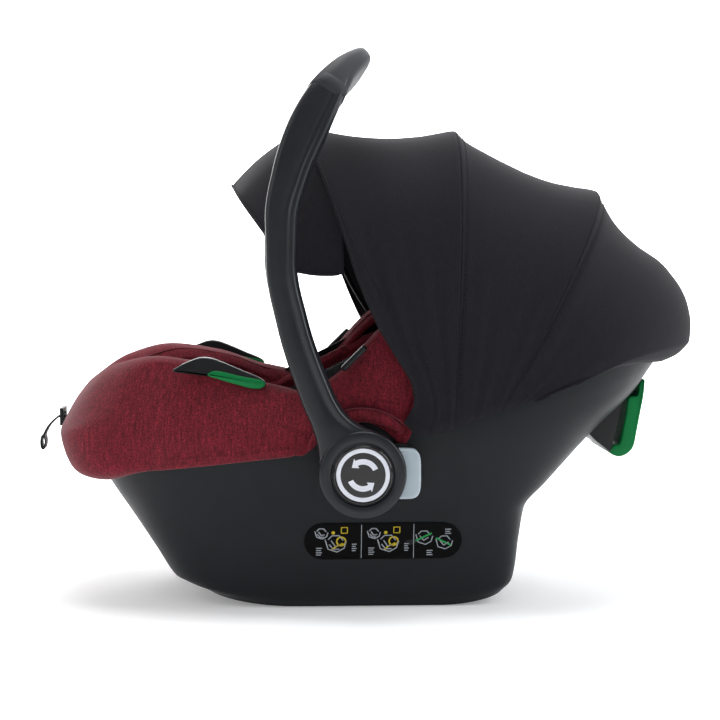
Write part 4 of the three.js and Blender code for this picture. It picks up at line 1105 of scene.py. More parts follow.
def surface_join(name, first, second):
    """Two meshes in one object, keeping the UV map."""
    with bpy.context.temp_override(active_object=first, selected_editable_objects=[first, second]):
        bpy.ops.object.join()
    first.name = name
    return first


# ---- Carry handle ----
# Middle of the left arm and half the grip: x, y, z, half width, half thickness, lean in degrees.
HANDLE_SPINE = [
    (-6, -214.5, 158, 37.0, 11.2, -16),
    (-13.1, -214.5, 172.5, 30.6, 11.0, -18),
    (-21.6, -214.3, 181.3, 23.6, 10.4, -18.5),
    (-28.9, -214.2, 190.2, 19.2, 9.8, -19.6),
    (-35.4, -214, 201, 16.9, 9.2, -22),
    (-43.0, -214, 217, 16.3, 8.7, -24),
    (-66.6, -214, 287, 15.3, 8.5, -16),
    (-77, -214, 343, 15, 8.5, -6),
    (-76.8, -213.5, 387, 16, 9, 4),
    (-68, -212, 430, 18, 10, 16),
    (-53, -208, 470, 20, 12, 28),
    (-36, -196, 504, 18, 15, 38),
    (-19, -170, 529, 12.5, 18.5, 46),
    (-7, -130, 539, 10.5, 21, 50),
    (-5, -60, 541, 10.5, 21.5, 51),
    (-5, 0, 541, 10.5, 21.5, 51),
]


def handle_rings(shares, lift=0.0, count=64, ridge=1.0):
    """Sections of the handle at shares of its whole length, from the left hub to the right one."""
    stations = np.array(HANDLE_SPINE, float)
    lengths = travelled(stations[:, :3])
    lengths /= lengths[-1]
    half = 1 - np.abs(2 * shares - 1)
    x, y, z, wide, thick, lean = (through(list(zip(lengths, stations[:, k])))(half) for k in range(6))
    path = np.stack([x, np.where(shares < 0.5, y, -y), z], axis=-1)
    tangent = along(path)
    lean = np.radians(lean)
    across = np.stack([np.cos(lean), np.zeros_like(lean), -np.sin(lean)], axis=-1)
    true = unit(across - tangent * np.sum(across * tangent, axis=1, keepdims=True))
    side = unit(mix(across, true, smoothstep(0.06, 0.16, half)[:, None]))
    up = unit(np.cross(tangent, side))
    t = (np.arange(count) + 0.5) / count * TURN
    power = 2 / 2.9
    a = (wide[:, None] + lift) * signed_power(np.cos(t), power)
    u = (thick[:, None] + lift) * signed_power(np.sin(t), power)
    inboard = wide[:, None] - a
    outer = smoothstep(-0.35, -0.8, u / thick[:, None]) * np.ones_like(a)
    where = smoothstep(0.03, 0.1, half) * (1 - smoothstep(0.6, 0.72, half)) * ridge
    relief = 3.0 * bump(inboard, 5.4, 4.0) - 1.6 * bump(inboard, 12.0, 2.0) + 0.3 * bump(
        inboard, 2 * wide[:, None] - 3, 2.4
    )
    u = u - outer * relief * where[:, None]
    return path[:, None] + side[:, None] * a[..., None] + up[:, None] * u[..., None]


def build_handle():
    """Handle: a leaning superellipse with a rounded ridge on its back edge, two turned hubs, a soft grip."""
    shares = np.linspace(0, 1, 420)
    arm = surface("handle_bar", handle_rings(shares), close_columns=True, caps=True)
    place(arm, "handle", "handle_plastic", finish("handle"), "carry_handle")
    edge = [
        (42 - 3.2 * (1 - math.cos(a)), HUB_FACE - 3.2 * (1 - math.sin(a)))
        for a in np.linspace(0, math.pi / 2, 7)
    ]
    profile = [
        (27.6, 212), (27.6, 203.2), (39.5, 203.2), (41.4, 204.4), (42, 206.5), *edge, (36, 226.4),
        (32.4, 226.1),
    ]
    profile += [(30.6, 225.5), (30, 224.6), (30, 223), (9, 223), (9, 212)]
    for side, name in ((-1, "left"), (1, "right")):
        hub = turned(f"handle_hub_{name}", profile, side=side)
        place(hub, "handle", "handle_plastic", finish("handle"))
    start, stop = 0.318, 0.682
    shares = np.linspace(start, stop, 200)
    lift = 0.9 * np.sqrt(np.clip(np.minimum(shares - start, stop - shares) / 0.002, 0, 1)) - 0.05
    near = np.array([-1e-4, 0, 1e-4])
    rows = np.concatenate([handle_rings(s + near, k, ridge=0)[1:2] for s, k in zip(shares, lift)])
    middle = np.abs(2 * shares - 1)
    outline_turn = (np.arange(rows.shape[1]) + 0.5) / rows.shape[1] * TURN
    flutes = 0.55 * np.cos(outline_turn * 3)[None] * (1 - smoothstep(0.1, 0.3, middle))[:, None]
    centre = rows.mean(axis=1, keepdims=True)
    rows = rows + unit(rows - centre) * flutes[..., None]
    grip = surface("grip_sleeve", rows, close_columns=True, caps=True)
    place(grip, "handle", "grip_rubber", finish("grip"), "grip_overlay")
    place_pair(tongue_form(), "handle", "grip_rubber", finish("grip"))


def tongue_form():
    """The grip's tongue on the outer face of the arm: a drop-shaped pillow laid on the handle's surface."""
    u = np.linspace(0, 1, 30)
    v = np.linspace(-1, 1, 24)
    across = mix(0.93, -0.72, u)
    half = 0.0052 * np.sqrt(np.clip(1 - (1 - np.minimum(u * 2.6, 1)) ** 2, 0, 1)) * (1 - 0.25 * u)
    first, stretch, rows, columns = 0.3, 0.045, 300, 256
    shares = (0.3248 + half[:, None] * v[None]).ravel()
    ring = handle_rings(np.linspace(first, first + stretch, rows), 0.9, columns, ridge=0)
    row = np.clip(np.round((shares - first) / stretch * (rows - 1)).astype(int), 0, rows - 1)
    angle = np.arccos(-np.clip(across, -0.99, 0.99)) + math.pi
    column = np.round(angle / TURN * columns - 0.5).astype(int) % columns
    base = ring[row, np.repeat(column, len(v))].reshape(len(u), len(v), 3)
    outward = unit(base - ring.mean(axis=1)[row].reshape(len(u), len(v), 3))
    ends = np.clip(np.minimum(u * 8, (1 - u) * 1.6), 0, 1)[:, None]
    pillow = np.clip(1 - v[None] ** 2, 0, 1) ** 0.5 * ends**0.5
    top = base + outward * (2.0 * pillow - 0.3)[..., None]
    under = base - outward * 0.8
    points = np.concatenate([top, under[:, ::-1]], axis=1)
    return surface("grip_tongue_left", points, close_columns=True, caps=True)


def build_hub_caps():
    """Hub caps: a gloss ring with a white ring in it, a dark disc, and two turning arrows."""
    base = [
        (0.01, 223.4), (28.6, 223.4), (28.6, 226.2), (28.2, 227.1), (27.2, 227.6), (26.3, 227.3),
        (25.9, 226.4), (0.01, 226.4),
    ]
    white = [(21.6, 226.2), (25.7, 226.2), (25.7, 226.9), (25.4, 227.2), (21.9, 227.2), (21.6, 226.9)]
    disc = [(0.01, 226.1), (21.4, 226.1), (21.4, 226.7), (0.01, 226.7)]
    for side, name in ((-1, "left"), (1, "right")):
        cap = turned(f"cap_ring_{name}", base, side=side)
        place(cap, "handle", "cap_plastic", finish("cap"), f"hub_cap_{name}")
        ring = turned(f"cap_white_ring_{name}", white, side=side)
        place(ring, "handle", "button_plastic", finish("white"))
        place(turned(f"cap_disc_{name}", disc, side=side), "handle", "cap_plastic", finish("cap"))
        arrows = []
        for turn in (0, math.pi):
            a = np.linspace(math.radians(24), math.radians(118), 30) + turn
            tip = math.radians(146) + turn
            outer = np.stack([15.6 * np.cos(a), 15.6 * np.sin(a)], axis=-1)
            inner = np.stack([10.4 * np.cos(a), 10.4 * np.sin(a)], axis=-1)[::-1]
            head = [(r * math.cos(b), r * math.sin(b)) for r, b in ((18.2, a[-1]), (13, tip), (7.8, a[-1]))]
            flat = np.vstack([outer, head, inner]) + PIVOT
            arrows.append(plate(f"arrow_{name}", flat, side * 226.6, side * 227.1, 0.05, smooth=False))
        place(merged(f"cap_arrows_{name}", arrows), "handle", "button_plastic", finish("white"))


def build_buttons():
    """Release buttons: a soft rectangle, rounded over, with its inner edge hollowed to the hub's circle."""
    a = seat_angles(140)
    ring = np.stack(
        [36 + 20.6 * signed_power(np.cos(a), 2 / 5), 142.4 + 24.3 * signed_power(np.sin(a), 2 / 4.2)],
        axis=-1,
    )
    left = plate("side_button_left", ring, -214.7, -197, 2.6, smooth=False)
    hub_room = [(0.01, 180), (HUB_RADIUS + 0.6, 180), (HUB_RADIUS + 0.6, 230), (0.01, 230)]
    cut_by(left, turned("hub_room", hub_room, count=160))
    left.data.set_sharp_from_angle(angle=math.radians(40))
    right = mirrored(left, "side_button_right")
    place(left, "left_button", "button_plastic", finish("button"), "release_button_left")
    place(right, "right_button", "button_plastic", finish("button"), "release_button_right")


# ---- Belt guides, clips, brackets and label ----
# Outlines in the side view: x, z.
FRONT_GUIDE = [
    (-183, 240), (-176, 244.8), (-166, 249.6), (-156, 252.8), (-147, 252.6), (-136, 249), (-116, 240.4),
    (-95, 231), (-92.4, 227.6), (-98, 226), (-118, 229), (-138, 233), (-160, 236.2),
]
FRONT_MARKER = [
    (-149, 236.4), (-145, 239.6), (-139, 240.2), (-118, 235.4), (-96, 230.6), (-92.6, 227.4),
    (-96, 223.4), (-104, 222.8), (-120, 226.6), (-136, 231.4),
]
REAR_MARKER = [
    (302.8, 222), (302.8, 214), (302.2, 207), (299, 189), (295.6, 171), (292.6, 155), (290.4, 149.6),
    (286, 145), (279, 141.6), (272, 142.2), (266.6, 145.8), (267.6, 149.6), (271.6, 153.6),
    (276, 154.4), (278.2, 159), (281, 173), (284, 189), (286.4, 203.4), (290, 204.6), (294.6, 205),
    (296.6, 209.6), (298.2, 219),
]
REAR_BRACKET = [
    (240, 170), (252, 158), (265.4, 147.4), (267.4, 148.4), (273, 175), (279.2, 203), (290, 215),
    (284, 217), (262, 200),
]


def build_guides():
    """Belt guides: rounded plates cut to the side view of each hook, in black with a green belt path."""
    left = plate("thigh_guide_left", FRONT_GUIDE, -179, -164, 2.2)
    marker = plate("thigh_marker_left", FRONT_MARKER, -181, -163, 2.2)
    place_pair(left, "seat_shell", "shell_plastic", finish("trim"), "front_belt_guide")
    place_pair(marker, "seat_shell", "marker_green", finish("green"), "front_belt_marker")
    bracket = plate("back_bracket", REAR_BRACKET, -64, 64, 0.8, smooth=False)
    place(bracket, "seat_shell", "shell_plastic", finish("trim"), "rear_belt_bracket")
    hook = plate("back_marker", REAR_MARKER, -61, 61, 1.8, 200)
    place(hook, "seat_shell", "marker_green", finish("green"), "rear_belt_marker")
    path = np.linspace([-18.4, -187.5, 241.2], [5.0, -187.5, 264.2], 40)
    clip = bar("side_clip_left", path, np.array([0, 1.0, 0]), tapered(rounded(6, 3.1, 3, 20), 40, 0.09))
    place_pair(clip, "seat_shell", "shell_plastic", finish("trim"), "rim_clip")


def decal(name, outline, out, centre=(0, 0)):
    """A thin printed shape that follows the left wall, its outline given in the side view."""
    ring = np.asarray(outline, float) + centre
    points = hub_recess(wall_side(ring[:, 0], ring[:, 1])) - [0, out, 0]
    middle = points.mean(axis=0)
    rows = np.stack([middle + (points - middle) * share for share in (0.02, 0.35, 0.7, 1)])
    flat = rows.copy()
    for k in range(4):
        flat[k] = hub_recess(wall_side(rows[k][:, 0], rows[k][:, 2])) - [0, out, 0]
    under = flat[-1:] + [0, 0.5, 0]
    return surface(name, np.concatenate([flat, under]), close_columns=True, caps=True)


def drawn_line(name, points, half, centre=(0, 0)):
    """A printed line that follows the left wall: a narrow strip along its points."""
    corners = np.asarray(points, float) + centre
    stations = np.linspace(0, len(corners) - 1, 6 * (len(corners) - 1) + 1)
    path = at_places(stations, np.arange(len(corners)), corners)
    tangent = along(path)
    normal = np.stack([-tangent[:, 1], tangent[:, 0]], axis=-1)
    ring = np.stack(
        [path + normal * half, path - normal * half, path - normal * half, path + normal * half], axis=1
    )
    points = hub_recess(wall_side(ring[..., 0], ring[..., 1])) - [0, 1.6, 0]
    points[:, 2:] += [0, 0.5, 0]
    return surface(name, points, close_columns=True, caps=True)


# Edges of the label in the side view, and half the height of the lines that divide it.
LABEL = {"front": -54.5, "back": 102, "low": 50.5, "high": 87.5}
DIVIDER_HALF = 17.5


def build_label():
    """Label: a black stadium of film on the wall, with plain picture marks and no lettering."""
    middle = (LABEL["low"] + LABEL["high"]) / 2
    u = np.linspace(0, 1, 90)[:, None]
    v = np.linspace(-1, 1, 25)[None]
    half = (LABEL["high"] - LABEL["low"]) / 2
    reach = half * (1 - np.sqrt(np.clip(1 - v**2, 0, 1)))
    x = mix(LABEL["front"] + reach, LABEL["back"] - reach, u)
    z = middle + half * v * np.ones_like(u)
    top = hub_recess(wall_side(x, z)) - [0, 1.2, 0]
    points = np.concatenate([top, top[::-1] + [0, 1.2, 0]])
    film = surface("label_film", points, close_rows=True)
    face_out(film, 1e-5)
    place(film, "seat_shell", "label_film", finish("label"), "label")
    marks = {"print_white": [], "print_yellow": [], "print_green": []}

    def line(colour, points, at, half=0.5):
        """A drawn line, its points relative to a place."""
        marks[colour].append(drawn_line("mark", points, half, at))

    for x in (2, 54):
        line("print_white", [(0, -DIVIDER_HALF), (0, 0), (0, DIVIDER_HALF)], (x, middle), 0.35)
    shell_form = [(-10, 6), (-7, -4), (2, -7), (9, -3), (11, 4)]
    hood = [(-7, 6), (-3, 10), (4, 10), (8, 5)]
    a = seat_angles(24)
    ring = np.stack([4.4 * np.cos(a), 4.4 * np.sin(a)], axis=-1)
    square = np.array([(-3, -3), (3, -3), (3, 3), (-3, 3), (-3, -3), (3, -3)])
    for x in (-38, 14):
        for across, up, scale in ((0, 7, 0.62), (14, -4, 1.0)):
            at = (x + across, middle + up)
            for form in (shell_form, hood, [(-4, 5), (0, -1), (6, 0)], [(-6, 1), (-2, -4), (4, -4)]):
                line("print_white", np.array(form) * scale, at, 0.55)
        line("print_yellow", np.vstack([ring, ring[:2]]), (x + 20, middle), 0.75)
        line("print_yellow", [(-6, -6), (-2, -2), (3, 0), (5, 1)], (x + 17, middle - 3), 0.8)
        marks["print_yellow"].append(decal("mark", ring * 0.4, 1.75, (x + 12, middle + 9)))
        line("print_yellow", square, (x + 23, middle + 11.5), 0.45)
        for k in range(4):
            line("print_white", [(-3, 0), (0, 0), (3 - k % 2, 0)], (x - 2, middle - 7 - 2.2 * k), 0.5)
            line("print_white", [(-2.4, 0), (0, 0), (2.4 - k % 2, 0)], (x + 33, middle - 3 - 2.2 * k), 0.5)
    for x, z, slope in ((64, 2, 4), (84, -3, -4)):
        for form in (shell_form, hood, [(-5, 4), (0, -2), (6, 2)]):
            line("print_white", np.array(form) * 0.8, (x, middle + z), 0.5)
        line("print_green", [(-8, -slope), (0, 0), (8, slope)], (x, middle + z + 2), 0.9)
    for x, z in ((88, 12), (70, -10)):
        for k in range(3):
            line("print_white", [(-3, 0), (0, 0), (3 - k % 2, 0)], (x, middle + z - 2.2 * k), 0.5)
    for colour, pieces in marks.items():
        place(merged(f"label_{colour}", pieces), "seat_shell", "label_film", finish(colour))


# ---- Sun canopy ----
# The bows turn about this x and z; the arch has this half width and squareness.
CANOPY = {"x": 90, "z": 197, "half": 200, "square": 2.8}
# The crown, from the front bow at 0 past the middle one at 1 and the rear one at 2 to the shell at 3:
# place, x, z.
CROWN = [
    (0, -57, 487), (0.18, -27, 480), (0.4, 7, 475), (0.6, 37, 473.5), (0.8, 68, 475.5), (0.93, 89, 479),
    (1, 104, 481.5), (1.07, 115, 471.5), (1.2, 133, 461), (1.37, 158, 448), (1.53, 183, 436.5),
    (1.7, 208, 428), (1.85, 230, 423.5), (2, 253, 419.5), (2.05, 259, 408), (2.15, 273, 387),
    (2.28, 298, 363.5), (2.42, 326, 344), (2.52, 338, 330.5), (2.6, 348, 316.5), (2.68, 355, 300),
    (2.76, 358.5, 280), (2.84, 357.5, 263), (2.9, 352, 255), (2.95, 344, 248), (3, 331, 242),
]
# The hem at the same places: place, x, z.
HEM = [
    (0, 41, 190), (0.2, 53, 179.5), (0.5, 66, 178.5), (0.8, 80, 181), (1, 90, 184), (1.5, 115, 193.5),
    (2, 138, 202), (2.5, 156, 208), (3, 170, 212),
]
crown_x, crown_z = through([(u, x) for u, x, _ in CROWN]), through([(u, z) for u, _, z in CROWN])
hem_x, hem_z = through([(u, x) for u, x, _ in HEM]), through([(u, z) for u, _, z in HEM])
front_bow = through([(0, 0), (0.07, 17), (0.13, 21), (0.2, 16), (0.33, 6), (0.5, 2), (0.7, 3), (1, 0)])
hem_bow = through([(0, 0), (0.3, 7), (0.6, 11), (0.8, 8), (1, 0)])


def canopy_point(at, share, depth=0.0):
    """The cloth: a superellipse arch from hem to crown at each place, pulled in by a depth."""
    at, share = np.broadcast_arrays(np.asarray(at, float), np.asarray(share, float))
    t = math.pi / 2 * (1 - np.abs(share))
    power = 2 / CANOPY["square"]
    rise = np.sin(t) ** power
    y = np.sign(share) * (CANOPY["half"] - depth) * np.maximum(np.cos(t), 0) ** power
    x = mix(hem_x(at), crown_x(at), rise) + np.maximum(1 - at, 0) * front_bow(rise)
    round_back = 0.25 * smoothstep(2, 2.35, at) * (y / CANOPY["half"]) ** 2
    x = x - round_back * np.maximum(x - CANOPY["x"], 0) * rise
    z = mix(hem_z(at), crown_z(at), rise) + np.maximum(at - 2, 0) ** 4 * hem_bow(rise)
    inward = unit(np.stack([CANOPY["x"] - x, 230 - z], axis=-1)) * (depth * rise)[..., None]
    return np.stack([x + inward[..., 0], y, z + inward[..., 1]], axis=-1)


def draped(at, share):
    """The cloth with its pull: shallow folds from each bow's foot up the sides, a valley by each seam."""
    points = canopy_point(at, share)
    inner = canopy_point(at, share, 1.0)
    inward = inner - points
    side = np.abs(share)
    low = smoothstep(0.45, 0.85, side)
    folds = low * (0.36 * np.sin(at * 21 + 5 * side) + 0.24 * np.sin(at * 34 - 9 * side + 1.3))
    seams = sum(1.3 * bump(at, place + 0.035, 0.012) for place in (1, 2)) * (1 - smoothstep(0.9, 1, side))
    return points + inward * (folds * 0.8 + seams)[..., None]


def fold_layer(obj, weights):
    """Stores a weight named fold on each point of a cloth."""
    layer = obj.data.attributes.new("fold", "FLOAT", "POINT")
    layer.data.foreach_set("value", np.asarray(weights, np.float32).ravel())


def fold(obj):
    """Reads the fold weight stored on a cloth's points, bakes the cloth's placement into them, and removes
    the weight.
    """
    stored = np.empty(len(obj.data.vertices), np.float32)
    obj.data.attributes["fold"].data.foreach_get("value", stored)
    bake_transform(obj)
    obj.data.attributes.remove(obj.data.attributes["fold"])


def seam_row(name, places, shares):
    """A row of stitches on the cloth from its places and shares, with a fold weight like the cloth under it.
    """
    path = canopy_point(places, shares, -0.25)
    row = stitches(name, path, size("stitch"), 2.2, 0.4)
    gaps = np.linalg.norm(coordinates(row)[:, None] - path[None], axis=2)
    fold_layer(row, math.floor(places.min()) + 1 - places[np.argmin(gaps, axis=1)])
    place(row, None, "canopy_cloth", finish("thread"))
    fold(row)


def cloth_sheet(name, points, weights):
    """A sheet with a thickness, with a fold weight on its points."""
    sheet = surface(name, points)
    fold_layer(sheet, weights)
    inside = np.array([60, 0, 300])
    if np.sum(normals_of(sheet) * (coordinates(sheet) - inside), axis=1).mean() <= 0:
        sheet.data.flip_normals()
    modifier(sheet, "SOLIDIFY", thickness=size("canopy_cloth") * MM, offset=-1.0, use_even_offset=False)
    return apply_modifiers(sheet)


# Place of the front panel's seam by its share of the way down the side.
FRONT_SEAM = through([(0.41, 0.012), (0.613, 0.035), (0.767, 0.17), (0.887, 0.42), (0.975, 0.9)])
PANELS = [
    ("canopy_front", 0.0, 0.998, "middle_bow", "front_bow", "canopy_cloth_front"),
    ("canopy_middle", 1.002, 1.998, "rear_bow", "middle_bow", "canopy_cloth_middle"),
    ("canopy_rear", 2.002, 3.0, "seat_shell", "rear_bow", "canopy_cloth_rear"),
]


def build_canopy():
    """Canopy: three panels of one arched sheet between the bows, with seams and a rolled hem."""
    share = np.linspace(-1, 1, 181)[None]
    for name, start, stop, first, second, node_name in PANELS:
        at = np.linspace(start, stop, 72)[:, None]
        points = draped(at * np.ones_like(share), share * np.ones_like(at))
        points[:, [0, -1], 1] = np.sign(share[0, [0, -1]]) * CANOPY["half"]
        weights = np.ceil(stop) - at * np.ones_like(share)
        panel = cloth_sheet(name, points, weights)
        place(panel, None, "canopy_cloth", finish("canopy"), node_name)
        fold(panel)
    across = np.linspace(-0.97, 0.97, 400)
    seam_row("seam_middle", np.full(400, 1.045), across)
    seam_row("seam_rear", np.full(400, 2.045), across)
    down = np.linspace(0.45, 0.972, 160)
    for name, side in (("left", -1), ("right", 1)):
        seam_row(f"seam_front_{name}", FRONT_SEAM(down), side * down)
    hem = canopy_point(0.004, np.linspace(-0.985, 0.985, 260), 0.9)
    place(tube("canopy_hem", hem, 1.5, 10), "front_bow", "canopy_cloth", finish("canopy"))


def build_bows():
    """Bows: round rods inside the cloth, flattened to an eye on the canopy's axis at both ends."""
    for name, at, eye_y in (("rear", 2, 187.6), ("middle", 1, 190.6), ("front", 0.01, 193.6)):
        share = np.linspace(-1, 1, 161)
        point = canopy_point(at, share, 9)
        rise = np.sin(math.pi / 2 * (1 - np.abs(share)))
        free = smoothstep(0.02, 0.42, rise)[:, None]
        near = np.sign(share) * eye_y * np.maximum(1 - rise**3.2, 0) ** (1 / 2.6)
        away = mix(6, 60, rise / 0.42)
        heading = unit(np.array([crown_x(at) - CANOPY["x"], 0, crown_z(at) - CANOPY["z"]], float))
        foot = np.stack([np.full(161, CANOPY["x"]), near, np.full(161, CANOPY["z"])], axis=-1)
        close = foot + heading * away[:, None]
        wide = mix(near, point[:, 1] * eye_y / CANOPY["half"] * 1.01, free[:, 0])
        target = np.stack([point[:, 0], wide, point[:, 2]], axis=-1)
        path = mix(close, target, free)
        radius = np.hypot(path[:, 0] - CANOPY["x"], path[:, 2] - CANOPY["z"])
        flat = mix(1.15, 2.4, smoothstep(20, 50, radius))
        outline = rounded(1, 1, 2, 12)[None] * np.stack([np.full(161, 2.4), flat], axis=-1)[:, None]
        lean = math.atan2(crown_x(at) - CANOPY["x"], crown_z(at) - CANOPY["z"])
        rod = bar(f"bow_arch_{name}", path, np.array([math.cos(lean), 0, -math.sin(lean)]), outline)
        rings_of = [(4.4, eye_y - 1.2), (10, eye_y - 1.2), (10, eye_y + 1.2), (4.4, eye_y + 1.2)]
        eyes = [turned("eye", rings_of, (CANOPY["x"], CANOPY["z"]), side, 40) for side in (-1, 1)]
        bow = merged(f"bow_arch_{name}", [rod, *eyes])
        place(bow, f"{name}_bow", "shell_plastic", finish("trim"), f"bow_{name}")


# The visor's front edge by its share of the way from the middle to a side.
VISOR_X = through([(0, -126.5), (0.35, -119), (0.6, -96), (0.8, -60), (0.92, -34), (1, -16)])
VISOR_Y = through([(0, 0), (0.35, 78), (0.6, 134), (0.8, 169), (0.92, 178), (1, 181)])
VISOR_Z = through([(0, 424.5), (0.35, 412), (0.6, 380), (0.8, 336), (0.92, 333), (1, 334)])


def visor_point(u, side):
    """The visor: from its front edge at 0 to the line inside the front bow at 1, with a slight bulge."""
    share = np.abs(side)
    front = np.stack([VISOR_X(share), np.sign(side) * VISOR_Y(share), VISOR_Z(share)], axis=-1)
    back = canopy_point(np.full(share.shape, 0.01), side * 0.63, 4.4)
    bulge = np.sin(math.pi * u) * 5 * (1 - share**4)
    return mix(front, back, u[..., None]) + np.stack([-0.7 * bulge, 0 * bulge, 0.7 * bulge], axis=-1)


def build_visor():
    """Visor: a curved sheet that hangs from the front bow, with a stitched front edge."""
    u, side = np.meshgrid(np.linspace(0, 1, 36), np.linspace(-1, 1, 141), indexing="ij")
    points = visor_point(u, side)
    visor = cloth_sheet("visor", points, 1 - u)
    place(visor, None, "canopy_cloth", finish("canopy"), "visor_cloth")
    fold(visor)
    edge = points[0, 1:-1]
    place(tube("visor_edge", edge, 1.3, 8), "visor", "canopy_cloth", finish("canopy"))


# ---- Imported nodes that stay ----
KEPT_NODES = {
    "latch_tray_front": "trim", "latch_tray_rear": "trim", "strap_exit": "trim",
    "lock_gear_left": "trim", "lock_gear_right": "trim",
    "canopy_pin_left": "trim", "canopy_pin_right": "trim",
    "latch_bar_front": "steel", "latch_bar_rear": "steel",
    "pivot_bolt_left": "steel", "pivot_bolt_right": "steel",
    "buckle_tongue_left": "steel", "buckle_tongue_right": "steel",
    "pivot_boss_left": "shell", "pivot_boss_right": "shell",
    "foam_liner": "foam",
}


def finish_nodes():
    """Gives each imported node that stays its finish."""
    for obj in bpy.data.objects:
        colour = KEPT_NODES.get(obj.name)
        if colour and obj.type == "MESH":
            obj.data.materials.clear()
            obj.data.materials.append(finish(colour))


# ---- Stage ----
CAMERA_AT = (-0.0986, -2.1, 0.365)
CAMERA_AHEAD = (0.0509, 0.9969, -0.0595)
LENS = 98.9


def light(name, at, target, energy, sides, colour=(1, 1, 1)):
    """A soft area light that faces a point."""
    data = bpy.data.lights.new(name, "AREA")
    data.energy = energy
    data.color = colour
    data.shape = "RECTANGLE"
    data.size, data.size_y = sides
    obj = link(name, data)
    obj.location = at
    obj.rotation_euler = (Vector(target) - Vector(at)).to_track_quat("-Z", "Y").to_euler()
    return obj


def build_stage():
    """Stage: a pale floor that curves up behind, soft studio lights, and the camera."""
    x = np.linspace(-6000, 6000, 3)[None]
    t = np.linspace(0, math.pi / 2, 24)
    run = np.concatenate([[-6000], 3200 + 1500 * np.sin(t), [4700]])
    height = np.concatenate([[0], 1500 * (1 - np.cos(t)), [5000]])
    points = np.stack(np.broadcast_arrays(x, run[:, None], height[:, None] - 0.4), axis=-1)
    floor = surface("floor", points)
    # White studio paint, lit a little from within so that it stays pale in the shade.
    paint = {"Roughness": 0.9, "Emission Color": (1.0, 1.0, 1.0, 1.0), "Emission Strength": 0.22}
    material, tree, shader = new_material("painted_studio_floor_white", **paint)
    source = (node(tree, "ShaderNodeTexCoord"), "Object")
    cloud = node(tree, "ShaderNodeTexNoise", {"Vector": source, "Scale": 1 / (700 * MM)})
    tint = node(tree, "ShaderNodeValToRGB", {"Fac": (cloud, "Fac")}, [(0.3, "#fbfbfc"), (0.7, "#ffffff")])
    tree.links.new(tint.outputs["Color"], shader.inputs["Base Color"])
    floor.data.materials.append(material)
    world = bpy.context.scene.world or bpy.data.worlds.new("studio")
    bpy.context.scene.world = world
    world.use_nodes = True
    background = next(n for n in world.node_tree.nodes if n.type == "BACKGROUND")
    background.inputs["Color"].default_value = (0.97, 0.98, 1.0, 1)
    background.inputs["Strength"].default_value = 0.45
    bpy.context.scene.view_settings.view_transform = "Standard"
    target = (0.03, 0, 0.25)
    light("top_light", (0.1, 0.2, 2.3), target, 42, (1.6, 1.6))
    light("backdrop_light", (0, 2.4, 2.4), (0, 4.6, 0.2), 240, (4.0, 1.0))
    light("left_light", (-2.2, -0.9, 1.3), target, 9, (0.7, 1.8))
    light("right_light", (2.2, -0.5, 1.3), target, 26, (0.5, 1.8), (0.94, 0.97, 1))
    light("back_light", (0.2, 2.2, 1.7), target, 20, (2.0, 1.0))
    data = bpy.data.cameras.new("camera")
    data.lens = LENS
    data.clip_end = 50
    camera = link("camera", data)
    camera.location = CAMERA_AT
    camera.rotation_euler = Vector(CAMERA_AHEAD).to_track_quat("-Z", "Y").to_euler()
    bpy.context.scene.camera = camera


# ---- Add-on ----
LENGTH = {"subtype": "DISTANCE", "unit": "LENGTH"}


class SeatSizes(bpy.types.PropertyGroup):
    """Sizes that a user would change."""

    shell_wall: FloatProperty(
        name="Shell wall", description="Thickness of the shell",
        default=4.5 * MM, min=2 * MM, max=6 * MM, **LENGTH,
    )
    canopy_cloth: FloatProperty(
        name="Canopy cloth", description="Thickness of the canopy's cloth with its lining",
        default=1.6 * MM, min=0.5 * MM, max=3 * MM, **LENGTH,
    )
    strap_width: FloatProperty(
        name="Strap width", description="Width of the harness webbing",
        default=25 * MM, min=20 * MM, max=38 * MM, **LENGTH,
    )
    strap_thickness: FloatProperty(
        name="Strap thickness", description="Thickness of the harness webbing",
        default=1.8 * MM, min=1 * MM, max=3 * MM, **LENGTH,
    )
    stitch: FloatProperty(
        name="Stitch", description="Length of one stitch",
        default=2.6 * MM, min=1.5 * MM, max=5 * MM, **LENGTH,
    )
    piping: FloatProperty(
        name="Piping", description="Radius of the piping round the cover",
        default=1.1 * MM, min=0.6 * MM, max=2.5 * MM, **LENGTH,
    )
    puff: FloatProperty(
        name="Puff", description="How far the padding may swell on the seat pad",
        default=5 * MM, min=1 * MM, max=8 * MM, **LENGTH,
    )


def size(name):
    """One of the sizes, in millimetres."""
    return getattr(bpy.context.scene.seat_sizes, name) / MM


def gamma(hex_code):
    """The sRGB values of a hex colour, from 0 to 1."""
    return tuple(int(hex_code[i : i + 2], 16) / 255 for i in (1, 3, 5))


class SeatColours(bpy.types.PropertyGroup):
    """Colours that a user would change."""

    shell: FloatVectorProperty(
        name="Shell", description="Colour of the shell's plastic", default=gamma(
            "#0f1216"
        ), subtype="COLOR_GAMMA", size=3
    )
    marker: FloatVectorProperty(
        name="Belt path", description="Colour of the belt markers", default=gamma(
            "#006c36"
        ), subtype="COLOR_GAMMA", size=3
    )
    cloth: FloatVectorProperty(
        name="Cover", description="Main yarn of the cover", default=gamma(
            "#5e1a24"
        ), subtype="COLOR_GAMMA", size=3
    )


class SEAT_OT_stage(bpy.types.Operator):
    """Builds the floor, the lights and the camera."""

    bl_idname = "seat.stage"
    bl_label = "Stage"

    def execute(self, context):
        build_stage()
        return {"FINISHED"}


class SEAT_OT_shell(bpy.types.Operator):
    """Builds the moulded shell."""

    bl_idname = "seat.shell"
    bl_label = "Shell"

    def execute(self, context):
        build_shell()
        return {"FINISHED"}


